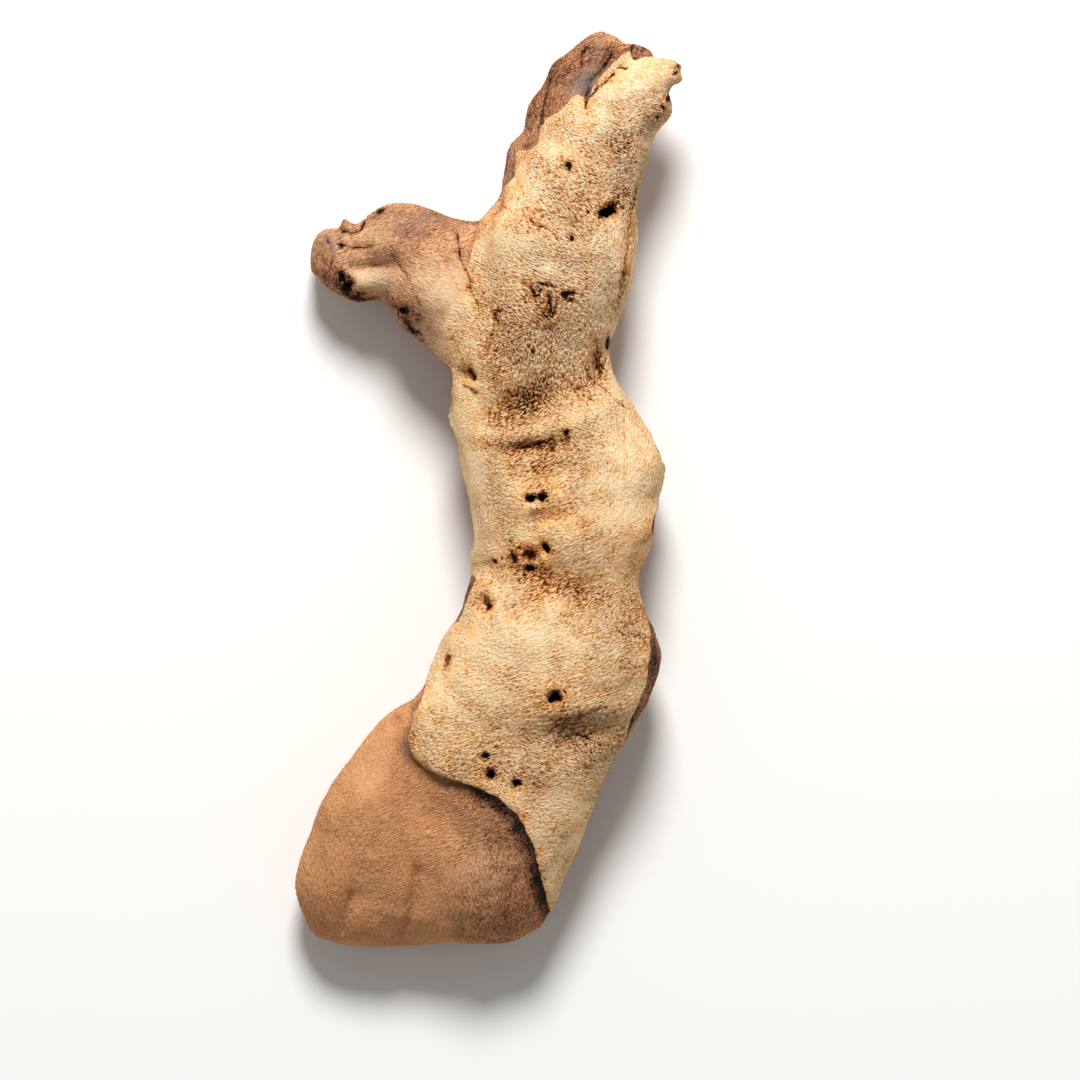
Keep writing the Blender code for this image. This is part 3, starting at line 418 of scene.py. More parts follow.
# Where the sapwood is weathered roughest, and where it stays smooth.
ROUGH = rows_of(
    Spot,
    (38.4, 91, 8, 11, 0, 0.8), (21.6, 80, 11, 8.4, 0, 0.65), (21.6, 42, 13, 16.8, 0, 0.8),
    (6, 42, 9, 14, 0, 0.65), (10, 23, 9, 6, 30, 0.8), (25.8, 9.8, 7, 5, 0, 0.6),
    (28.6, -32.2, 9, 9.8, 0, 0.6), (38.4, -39.2, 8, 9, 0, 0.65), (27, -68.6, 15, 11, 0, 0.95),
    (3.4, -77, 17, 7, 0, 0.65),
)
SMOOTH = rows_of(
    Spot,
    (41.5, 115.5, 9, 4.5, 15, 0.75), (-6, 8, 4, 22, -6, 0.8), (40, 6, 5, 20, 0, 0.7),
    (2, -42, 15, 12, 0, 0.5), (-11, 57, 8, 12, 0, 0.7), (35, 69, 5, 4, 0, 0.5),
)

# Where the sapwood's edge dies out on the branch, which grows out of the stem here.
BRANCH_ROOT = Spot(-9.0, 50.0, 11.0, 16.0, 15)

# The way the sapwood's wrinkles run. They mostly cross the stem and bend round its knots.
WRINKLES = rows_of(
    Stroke,
    (37, 114.8, 168), (31.4, 100.8, 168), (24.4, 89.6, 168), (38, 88, 176), (4.8, 75.6, 138),
    (24.4, 75.6, 163), (38.5, 70, 95), (10, 60, 160), (16, 60, 175), (25.5, 58, 150), (0, 52, 145),
    (36, 52, 105), (-19, 60, 130), (4.8, 38, 50), (-3, 36, 10), (4.8, 28, 68), (14.6, 34, 105),
    (24.4, 32, 122), (31, 38, 95), (24.4, 19.6, 155), (14.6, 16, 20), (14.6, 8.4, 20), (2, 10, 12),
    (20, -2.8, 10), (38.4, 5.6, 96), (-5.8, 7, 98), (14.6, -25.2, 30), (30, -20, 20), (14.6, -42, 34),
    (32, -42, 28), (44, -45, 60), (10, -58.8, 12), (28, -60, 16), (14.6, -75.6, 178), (-13.4, -70, 40),
    (28, -76, 168),
)

# The way the heartwood's fibres run.
FIBRES = rows_of(
    Stroke,
    (12, 100, 70), (22, 114, 60), (32, 124, 50), (44, 124, 60), (6, 90, 88), (-18, 74, 12), (-30, 70, 4),
    (-42, 70, 25), (-46, 62, 95), (-34, 58, 0), (-20, 55, 125), (-12, 50, 125), (-26, -68, 60),
    (-32, -85, 48), (-16, -90, 40), (-44, -105, 68), (-20, -115, 62), (0, -120, 85),
)

# The sapwood's edge as it is looked down on. Where it wraps round a side it runs past it.
SAPWOOD_EDGE = (
    (4.7, 84.3), (7.6, 87.4), (7.9, 94.1), (9.3, 94.8), (12.4, 94.6), (14.1, 96.7), (14.9, 101),
    (16.6, 103.6), (19.3, 104.8), (21.9, 107), (23.6, 109.5), (25.3, 110.2), (26.6, 109.5), (27.3, 106.3),
    (28.6, 109.5), (29.2, 112), (32.1, 115.9), (34.8, 118.7), (37.6, 121.2), (39.8, 122.6), (40.1, 120.4),
    (41.2, 119.8), (44, 121), (47.4, 121.2), (60, 122), (60, 15.6), (45.6, 15.2), (46.4, 13.4), (47.4, 11),
    (48.8, 8), (60, 7.6), (60, -5.6), (47.2, -6), (46.2, -8), (45.7, -11), (46, -12.6), (60, -13),
    (60, -33), (43.2, -33.6), (45.2, -38.6), (45.4, -45), (44.2, -54), (42.2, -59), (39.8, -64.2),
    (38.4, -70), (60, -71), (60, -136), (22, -136), (19, -124), (17, -116), (15, -108), (13, -99), (9, -91),
    (3, -85.5), (-3.3, -82.6), (-8.2, -81.1), (-13.1, -79.5), (-17.3, -77.6), (-20.9, -74.2),
    (-21.8, -70.6), (-22.9, -67.2), (-22.2, -63.6), (-19.5, -61), (-18.1, -57.7), (-16.7, -53.2),
    (-24, -50), (-16, -38.5), (-8, -37), (-6.5, -33), (-5.1, -29), (-3.3, -25.2), (-3.5, -23.8), (-16, -22),
    (-16, 30), (-20, 34), (-11.7, 38.6), (-12, 44.8), (-9.2, 50.4), (-6.1, 56), (-4.7, 63.8), (-3.8, 67.8),
    (-2.7, 72.2), (-1.6, 76.2), (0.4, 77.8), (3.4, 81.2),
)


@dataclass(frozen=True)
class SeamPoint:
    """The stem's side edges at one place along Y, and how high the sapwood's lower edge runs there."""

    y: float
    left_x: float
    right_x: float
    left_z: float
    right_z: float


# The sapwood's lower edge on the stem's two sides. Where it rises, heartwood shows beside it.
SEAM = rows_of(
    SeamPoint,
    (-128, -8, 6, 19.7, 13.2), (-119, -18.5, 17, 27.6, 15.3), (-111, -20.5, 20.8, 30.5, 18.1),
    (-101.5, -21.5, 25, 32.3, 21.3), (-92, -22, 28.7, 33.7, 24.7), (-84, -22.5, 32, 34.3, 27.4),
    (-64, -23.5, 42.8, 34.2, 30.9), (-58, -20.5, 45.8, 32.5, 31.7), (-52, -16.3, 48.4, 28.6, 32.9),
    (-42, -11.5, 48.7, 20.6, 32), (-37, -8.4, 45.8, 21.3, 17.8), (-32, -6.8, 43, 29.7, 17.5),
    (-27, -5.2, 42.1, 28.6, 17.3), (-23, -3, 41.9, 18.2, 17.3), (-14, -2.6, 46, 17.3, 18.2),
    (-12, -2.8, 46.8, 17.3, 29), (-6.5, -3.3, 47.5, 17.2, 29.2), (-4, -3.6, 47.2, 17.3, 17.3),
    (6, -6, 49.4, 17.4, 17.4), (8.5, -6.6, 49.6, 17.5, 30.2), (14, -8, 47, 29.2, 30.1),
    (17, -8.8, 45, 28.3, 17.7), (22, -9.3, 42, 18.8, 17.9), (25, -9.4, 40, 29.2, 18),
    (33, -9.6, 35, 30.6, 18.8), (38, -10, 34.2, 20.2, 19.3), (41, -9.8, 34.2, 20.6, 31.5),
    (43, -9, 34.9, 20.9, 20.1), (70, -2.5, 41.5, 23.3, 23.3), (90, 7.5, 43.3, 24.7, 29.2),
    (98, 14, 45.4, 25.6, 25.1), (121, 45, 51.5, 25.4, 25.4),
)


class Skin:
    """A mesh's vertices as arrays in millimetres, with what is needed to smooth and move them."""

    def __init__(self, mesh: bpy.types.Mesh) -> None:
        """Reads a closed mesh in metres."""
        self.mesh = mesh
        self.read()

    def read(self) -> None:
        """Reads points, normals and edges afresh."""
        count = len(self.mesh.vertices)
        rows = np.empty((2, count * 3), np.float32)
        self.mesh.vertices.foreach_get("co", rows[0])
        self.mesh.vertices.foreach_get("normal", rows[1])
        self.points, self.normals = rows.reshape(2, count, 3).astype(float)
        self.points /= MM
        ends = np.empty(len(self.mesh.edges) * 2, np.int32)
        self.mesh.edges.foreach_get("vertices", ends)
        self.first, self.second = ends.reshape(-1, 2).T
        self.around = np.maximum(np.bincount(ends, minlength=count), 1)

    def move(self, points: Array) -> None:
        """Puts the vertices at new places in millimetres and reads the mesh again."""
        self.mesh.vertices.foreach_set("co", (points * MM).astype(np.float32).ravel())
        self.mesh.update()
        self.read()

    def evened(self, values: Array, rounds: int) -> Array:
        """Draws each vertex's values towards those of its neighbours.

        Args:
            values: One row or number for each vertex.
            rounds: How many times.

        Returns:
            The smoothed values.
        """
        columns = values.reshape(len(values), -1)
        count = len(columns)
        for _ in range(rounds):
            total = np.empty_like(columns)
            for k in range(columns.shape[1]):
                column = columns[:, k]
                total[:, k] = np.bincount(self.first, column[self.second], count)
                total[:, k] += np.bincount(self.second, column[self.first], count)
            columns = 0.5 * columns + 0.5 * total / self.around[:, None]
        return columns.reshape(values.shape)

    def cavity(self, rounds: int) -> Array:
        """Measures how far each point lies below the mean of what is round it, in millimetres."""
        return np.einsum("ij,ij->i", self.evened(self.points, rounds) - self.points, self.normals)

    def mark(self, name: str, values: Array) -> None:
        """Stores a value or vector for each vertex, for the finish to read.

        Args:
            name: The attribute's name.
            values: Numbers, or rows of three.
        """
        kind = "FLOAT_VECTOR" if values.ndim == 2 else "FLOAT"
        stored = self.mesh.attributes.new(name, kind, "POINT")
        stored.data.foreach_set("vector" if values.ndim == 2 else "value", values.astype(np.float32).ravel())


@dataclass(frozen=True)
class Ripples:
    """Short wavy ridges that follow a direction across the surface, as wrinkles and fibres do."""

    spacing: float
    length: float
    seed: int
    in_each_cell: int = 2

    def chance(self, cells: Array, turn: int) -> Iterator[Array]:
        """Draws repeatable numbers from 0 to 1 for each cell.

        Args:
            cells: Whole-number cell places, one row each.
            turn: Which ridge of the cell this is.

        Yields:
            One array of numbers after another.
        """
        prime = np.array([73856093, 19349663, 83492791], np.int64)
        mixed = (cells * prime).sum(axis=1) + (self.seed * 7919 + turn) * 2654435761
        state = (mixed & 0xFFFFFFFF).astype(np.uint32)
        while True:
            state = state ^ (state >> np.uint32(16))
            state = state * np.uint32(0x7FEB352D)
            state = state ^ (state >> np.uint32(15))
            state = state * np.uint32(0x846CA68B)
            state = state ^ (state >> np.uint32(16))
            yield state / 4294967296.0

    def height(self, points: Array, across: Array) -> Array:
        """Adds up the ridges that lie round each point.

        Args:
            points: Places in millimetres.
            across: The direction across the ridges at each point.

        Returns:
            Heights of about -1 to 1.
        """
        cell = np.floor(points / self.length).astype(np.int64)
        total = np.zeros(len(points))
        for step in product((-1, 0, 1), repeat=3):
            home = cell + np.array(step)
            for turn in range(self.in_each_cell):
                draw = self.chance(home, turn)
                middle = home + np.column_stack([next(draw), next(draw), next(draw)])
                phase = next(draw) * 2.0 * math.pi
                gap = points - middle * self.length
                fade = np.clip(1.0 - (gap**2).sum(axis=1) / self.length**2, 0.0, None) ** 2
                wave = np.cos(np.einsum("ij,ij->i", gap, across) * 2.0 * math.pi / self.spacing + phase)
                total += fade * wave
        return total / max(total.std(), 1e-6) * 0.5


class Grain(Enum):
    """What a surface's texture follows: its strokes, and how far it sways off them in radians."""

    WRINKLES = (WRINKLES, 0.35)
    FIBRES = (FIBRES, 0.12)


@dataclass
class MopaniWood:
    """The whole piece of wood as one skin, finer than its solid, with its relief and its markings."""

    node: str = "mopani_wood"
    body: str = "root"
    slot: str = "wood"
    first_cell: float = 0.6
    cell: float = 0.5
    triangles: int = 192000
    evening: int = 2
    lump_height: float = 0.38
    wrinkle_spacing: float = 1.9
    wrinkle_length: float = 2.7
    wrinkle_height: float = 0.25
    fibre_spacing: float = 1.7
    fibre_length: float = 6.5
    fibre_height: float = 0.1
    edge_height: float = 0.5
    stroke_reach: float = 9.0
    finish: "WeatheredMopani" = field(default_factory=lambda: WeatheredMopani())

    def build(self) -> bpy.types.Object:
        """Makes the skin, dresses it and puts it in the place of its solid.

        Returns:
            The finished piece.
        """
        piece = self.copied()
        self.reskinned(piece, self.first_cell)
        skin = Skin(piece.data)
        skin.move(skin.evened(skin.points, self.evening))
        skin.move(self.pierced(skin))
        self.reskinned(piece, self.cell)
        skin = Skin(piece.data)
        skin.move(skin.evened(skin.points, 1))
        skin.move(self.textured(skin))
        self.marked(skin)
        self.thinned(piece)
        piece.data.shade_smooth()
        piece.data.materials.clear()
        piece.data.materials.append(self.finish.material())
        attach(piece, self.body)
        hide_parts(self.node)
        return piece

    def copied(self) -> bpy.types.Object:
        """Copies the solid's mesh into a new object and rounds its facets."""
        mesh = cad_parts[self.node].data.copy()
        piece = bpy.data.objects.new("mopani_wood_surface", mesh)
        bpy.context.scene.collection.objects.link(piece)
        mesh.materials.clear()
        joined = bmesh.new()
        joined.from_mesh(mesh)
        bmesh.ops.remove_doubles(joined, verts=joined.verts, dist=0.01 * MM)
        joined.to_mesh(mesh)
        joined.free()
        rounding = piece.modifiers.new("rounding", "SUBSURF")
        rounding.levels = 1
        self.applied(piece)
        return piece

    def applied(self, piece: bpy.types.Object) -> None:
        """Turns a piece's modifiers into its mesh.

        Args:
            piece: The object to change.
        """
        graph = bpy.context.evaluated_depsgraph_get()
        mesh = bpy.data.meshes.new_from_object(piece.evaluated_get(graph))
        mesh.name = piece.name
        piece.modifiers.clear()
        piece.data = mesh

    def reskinned(self, piece: bpy.types.Object, cell: float) -> None:
        """Gives a piece an even skin.

        Args:
            piece: The object to change.
            cell: The size of the skin's faces in millimetres.
        """
        skin = piece.modifiers.new("skin", "REMESH")
        skin.mode = "VOXEL"
        skin.voxel_size = cell * MM
        self.applied(piece)

    def thinned(self, piece: bpy.types.Object) -> None:
        """Takes triangles away where the surface is plain.

        Args:
            piece: The object to change.
        """
        piece.data.calc_loop_triangles()
        count = len(piece.data.loop_triangles)
        if count > self.triangles:
            thin = piece.modifiers.new("thin", "DECIMATE")
            thin.ratio = self.triangles / count
            thin.use_collapse_triangulate = True
            self.applied(piece)

    def sapwood_depth(self, points: Array) -> Array:
        """Measures how far each point lies inside the sapwood.

        Args:
            points: Places in millimetres.

        Returns:
            Depths in millimetres, below zero on heartwood.
        """
        seam = np.array([(s.y, s.left_x, s.right_x, s.left_z, s.right_z) for s in SEAM])
        left_x, right_x, left_z, right_z = (np.interp(points[:, 1], seam[:, 0], c) for c in seam[:, 1:].T)
        across = smooth_step(0.3, 0.7, (points[:, 0] - left_x) / (right_x - left_x))
        level = left_z + across * (right_z - left_z)
        level += 1.6 * noise_at(points, (9.0, 9.0, 60.0), 3.7) + 0.7 * noise_at(points, (2.6, 2.6, 9.0), 8.2)
        edge = inside_outline(points, SAPWOOD_EDGE) + 0.35 * noise_at(points, (1.3, 1.3, 9.0), 14.0)
        return np.minimum(edge, points[:, 2] - level)

    def strokes_across(self, points: Array, grain: Grain) -> Array:
        """Finds the direction across the wrinkles or fibres, as looked down on.

        Args:
            points: Places in millimetres.
            grain: Which of the two is asked for.

        Returns:
            One level unit vector for each point.
        """
        strokes, sway = grain.value
        lean = np.zeros((len(points), 2))
        for stroke in strokes:
            gap = (points[:, 0] - stroke.x) ** 2 + (points[:, 1] - stroke.y) ** 2
            weight = np.exp(-gap / self.stroke_reach**2) + 1e-6 / (1.0 + gap)
            twice = math.radians(2.0 * stroke.direction_deg)
            lean += weight[:, None] * np.array([math.cos(twice), math.sin(twice)])
        angle = 0.5 * np.arctan2(lean[:, 1], lean[:, 0])
        angle += sway * noise_at(points, (6.0, 6.0, 12.0), 27.0)
        return np.column_stack([-np.sin(angle), np.cos(angle), np.zeros(len(points))])

    def direction(self, points: Array, sap: Array) -> Array:
        """Chooses the direction across the wrinkles on sapwood and the fibres on heartwood."""
        wrinkles = self.strokes_across(points, Grain.WRINKLES)
        fibres = self.strokes_across(points, Grain.FIBRES)
        return np.where(sap[:, None] > 0.5, wrinkles, fibres)

    def across(self, skin: Skin, sap: Array) -> Array:
        """Finds the direction across the surface's texture, in the surface.

        On the underside the fibres simply run along Y.

        Args:
            skin: The skin.
            sap: 1 on sapwood and 0 on heartwood, for each point.

        Returns:
            One unit vector for each point.
        """
        chosen = self.direction(skin.points, sap)
        below = (smooth_step(0.1, -0.4, skin.normals[:, 2]) * (sap <= 0.5))[:, None]
        chosen = chosen * (1.0 - below) + below * np.array([1.0, 0.0, 0.0])
        slope = np.einsum("ij,ij->i", chosen, skin.normals)[:, None]
        return unit(chosen - slope * skin.normals)

    def lean(self, points: Array, sap: Array) -> Array:
        """Shares the direction across the texture between three fixed ones, 60 degrees apart.

        Args:
            points: Places in millimetres.
            sap: 1 on sapwood and 0 on heartwood, for each point.

        Returns:
            Three shares for each point, with squares that add up to one.
        """
        chosen = self.direction(points, sap)
        angle = np.arctan2(chosen[:, 1], chosen[:, 0])
        fixed = np.radians([0.0, 60.0, 120.0])
        return unit(np.clip(np.cos(2.0 * (angle[:, None] - fixed)), 0.0, None))

    def roughness_of(self, points: Array, sap: Array) -> Array:
        """Says how deeply weathered each point is, from 0 to 1.

        Args:
            points: Places in millimetres.
            sap: 1 on sapwood and 0 on heartwood.

        Returns:
            Shares from 0 to 1.
        """
        base = 0.42 + 0.25 * noise_at(points, (16.0, 16.0, 30.0), 61.0)
        base += 0.3 * noise_at(points, (5.5, 5.5, 8.0), 67.0)
        rough = base + (1.0 - base) * spots_share(points, ROUGH)
        rough *= 1.0 - 0.8 * spots_share(points, SMOOTH)
        return np.clip(rough * (0.35 + 0.65 * sap), 0.05, 1.0)

    def pierced(self, skin: Skin) -> Array:
        """Sinks the pits and cracks into the front and raises the sapwood's broken edge.

        Args:
            skin: The skin before them.

        Returns:
            The points' new places.
        """
        points = skin.points.copy()
        front = smooth_step(0.05, 0.4, skin.normals[:, 2])
        for pit in PITS:
            near = pit.near(skin.points)
            reach = pit.reach(skin.points[near])
            fall = pit.depth * np.exp(-(reach**4)) - pit.lip * np.exp(-(((reach - 1.7) / 0.6) ** 2))
            points[near, 2] -= front[near] * fall
        for crack in CRACKS:
            near = crack.near(skin.points)
            reach = crack.reach(skin.points[near])
            points[near, 2] -= front[near] * crack.depth * np.exp(-(reach**2))
        for nick in NICKS:
            points[:, :2] += nick.shift(skin.points)
        depth = self.sapwood_depth(skin.points)
        branch_root = BRANCH_ROOT.share(skin.points)
        lift = self.edge_height * (smooth_step(-0.4, 0.4, depth) - smooth_step(0.5, 5.0, depth))
        points += skin.normals * (lift * (1.0 - branch_root))[:, None]
        return points

    def textured(self, skin: Skin) -> Array:
        """Raises lumps, wrinkles and fibres.

        Args:
            skin: The skin without them.

        Returns:
            The points' new places.
        """
        points = skin.points
        depth = self.sapwood_depth(points)
        sap = smooth_step(-0.4, 0.4, depth)
        rough = self.roughness_of(points, sap)
        across = self.across(skin, sap)
        lumps = noise_at(points, (6.5, 6.5, 6.5), 12.0) + 0.5 * noise_at(points, (2.8, 2.8, 2.8), 44.0)
        wrinkles = Ripples(self.wrinkle_spacing, self.wrinkle_length, 1).height(points, across)
        fibres = Ripples(self.fibre_spacing, self.fibre_length, 2).height(points, across)
        patchy = np.clip(0.75 + 0.6 * noise_at(points, (4.0, 4.0, 4.0), 31.0), 0.2, 1.4)
        height = self.lump_height * (0.5 + rough) * lumps
        root = BRANCH_ROOT.share(points)
        height += sap * (1.0 - 0.6 * root) * self.wrinkle_height * rough * patchy * wrinkles
        height += (1.0 - sap) * self.fibre_height * patchy * fibres
        moved = points + skin.normals * height[:, None]
        moved[:, 2] = np.maximum(moved[:, 2], 0.0)
        flat = points[:, 2] < 0.05
        moved[flat] = points[flat]
        return moved

    def marked(self, skin: Skin) -> None:
        """Stores what the finish needs to know about each point.

        Args:
            skin: The skin with all its relief.
        """
        points = skin.points
        front = smooth_step(-0.1, 0.3, skin.normals[:, 2])
        depth = self.sapwood_depth(points)
        sap = smooth_step(-0.35, 0.35, depth)
        black = np.zeros(len(points))
        halo = np.zeros(len(points))
        for pit in PITS:
            near = pit.near(points)
            reach = pit.reach(points[near])
            black[near] = np.maximum(black[near], pit.dark * smooth_step(1.15, 0.75, reach))
            halo[near] = np.maximum(halo[near], pit.halo * smooth_step(2.6, 0.9, reach))
        for crack in CRACKS:
            near = crack.near(points)
            reach = crack.reach(points[near])
            broken = np.clip(0.9 + 0.7 * noise_at(points[near], (2.2, 2.2, 6.0), 5.5), 0.25, 1.0)
            black[near] = np.maximum(black[near], crack.dark * broken * smooth_step(1.1, 0.3, reach))
            halo[near] = np.maximum(halo[near], 0.5 * crack.dark * broken * smooth_step(3.0, 0.8, reach))
        root = BRANCH_ROOT.share(points)
        gutter = smooth_step(-5.0, -0.8, depth) * smooth_step(-56.0, -64.0, points[:, 1])
        foot = smooth_step(-52.0, -66.0, points[:, 1]) * smooth_step(0.0, -16.0, points[:, 0])
        marks = {
            "sap": sap + root * (smooth_step(-7.0, 5.0, depth) - sap),
            "wrinkled": np.maximum(sap, 0.8 * root),
            "sap_depth": depth + 4.0 * root,
            "lean": self.lean(points, sap),
            "rough": self.roughness_of(points, sap),
            "black": black * front,
            "halo": halo * front,
            # How deep each point lies in small recesses and in broad hollows, where the finish paints shade.
            "pit": skin.cavity(4),
            "hollow_shade": skin.cavity(40),
            "dark": np.maximum(spots_share(points, DARK), gutter) * front,
            "warm": smooth_step(80.0, 20.0, points[:, 1]),
            "foot": foot * (0.4 + 0.6 * front),
        }
        for name, spots in (("stain_and_shade", STAINS_AND_SHADE), ("cool", COOL), ("tan", TAN), ("bleach_and_highlight", BLEACH_AND_HIGHLIGHT)):
            marks[name] = spots_share(points, spots) * front
        for name, values in marks.items():
            skin.mark(name, values)


def linear(code: str) -> tuple[float, float, float, float]:
    """Turns an sRGB hex colour into a linear one.

    Args:
        code: Six hex digits after a hash.

    Returns:
        Red, green, blue and alpha.
    """
    parts = [int(code[i : i + 2], 16) / 255.0 for i in (1, 3, 5)]
    low, high = [p / 12.92 for p in parts], [((p + 0.055) / 1.055) ** 2.4 for p in parts]
    red, green, blue = (a if p <= 0.04045 else b for p, a, b in zip(parts, low, high))
    return red, green, blue, 1.0


Tree = bpy.types.NodeTree
Socket = bpy.types.NodeSocket
Inputs = Sequence[object] | dict[str | int, object]


def add_node(
    tree: Tree, kind: str, inputs: Inputs = (), output: str | int = 0, **settings: object
) -> Socket | None:
    """Adds a node, sets it and links it.

    Args:
        tree: The material's node tree.
        kind: The node's type name without its first words.
        inputs: A socket to link or a value to set for each input, in order or by name or number.
        output: The output that is wanted.
        **settings: The node's own properties.

    Returns:
        The output's socket, or nothing where the node has none.
    """
    made = tree.nodes.new("ShaderNode" + kind)
    for name, value in settings.items():
        setattr(made, name, value)
    for key, value in inputs.items() if isinstance(inputs, dict) else enumerate(inputs):
        if isinstance(value, Socket):
            tree.links.new(value, made.inputs[key])
        else:
            made.inputs[key].default_value = value
    return made.outputs[output] if made.outputs else None


Stops = tuple[tuple[float, str], ...]
Sockets = dict[str, Socket]
Weights = dict[str, float]

# The marks on the skin that the finish reads as they are, and those it reads between two limits.
MARKS = (
    "sap", "wrinkled", "rough", "black", "halo", "stain_and_shade", "dark", "cool", "tan", "bleach_and_highlight", "warm", "foot",
)
LIMITED_MARKS = {
    # The hollows and pits are read to paint shade in them.
    "hollow_shade": ("hollow_shade", 0.1, 0.9),
    "sapwood_pit_shade": ("pit", 0.02, 0.3),
    "heartwood_pit_shade": ("pit", 0.02, 0.25),
    "sapwood_edge": ("sap_depth", 3.5, 0.2),
}
# Clouds of colour, by the size of their cells in millimetres. The pores are the smallest.
CLOUDS = {"cloud_24": 24.0, "cloud_20": 20.0, "cloud_6": 6.0, "cloud_4": 4.0, "cloud_2": 2.2, "pores": 0.36}

# What each thing adds to a wood's tone, from 0 for the palest to 1 for near black. The hollow and
# pit marks add painted shade; the stain, bleach and black marks are partly painted light and shade.
SAPWOOD_TONE: Weights = {
    "cloud_24": 0.5, "cloud_6": 0.5, "cloud_2": 0.35, "bleach_and_highlight": -0.14, "warm": -0.03, "sapwood_edge": 0.08,
    "stain_and_shade": 0.42, "hollow_shade": 0.16, "sapwood_pit_shade": 0.16, "halo": 0.3, "black": 0.3, "pores": -0.2,
}
HEARTWOOD_TONE_AND_SHADE: Weights = {
    "cloud_20": 0.7, "cloud_4": 0.4, "tan": -0.48, "foot": -0.08, "dark": 0.5, "hollow_shade": 0.16,
    "heartwood_pit_shade": 0.25, "halo": 0.3, "black": 0.3, "fibre": -1.0, "pores": -1.3,
}
# How strongly the wrinkles' painted highlight and shade, and their painted crease shadows, show on sapwood.
WRINKLE_LIGHT_AND_SHADE: Weights = {"rough": 1.7, "stain_and_shade": 0.6}
CREASE_SHADOW: Weights = {"rough": 0.5, "stain_and_shade": 0.12}
# Noise is added to each of these before it is cut off, so that its border is ragged.
CRUMBLED: Weights = {"sap": 1.0, "pores": 0.6}
# Pits and cracks go near black: partly dark knot wood, partly painted shade in their depths.
PIT_AND_CRACK_BLACK: Weights = {"black": 1.0, "pores": 0.9, "wrinkle": 0.9}
COOLED: Weights = {"cool": 0.85, "pores": 1.0}


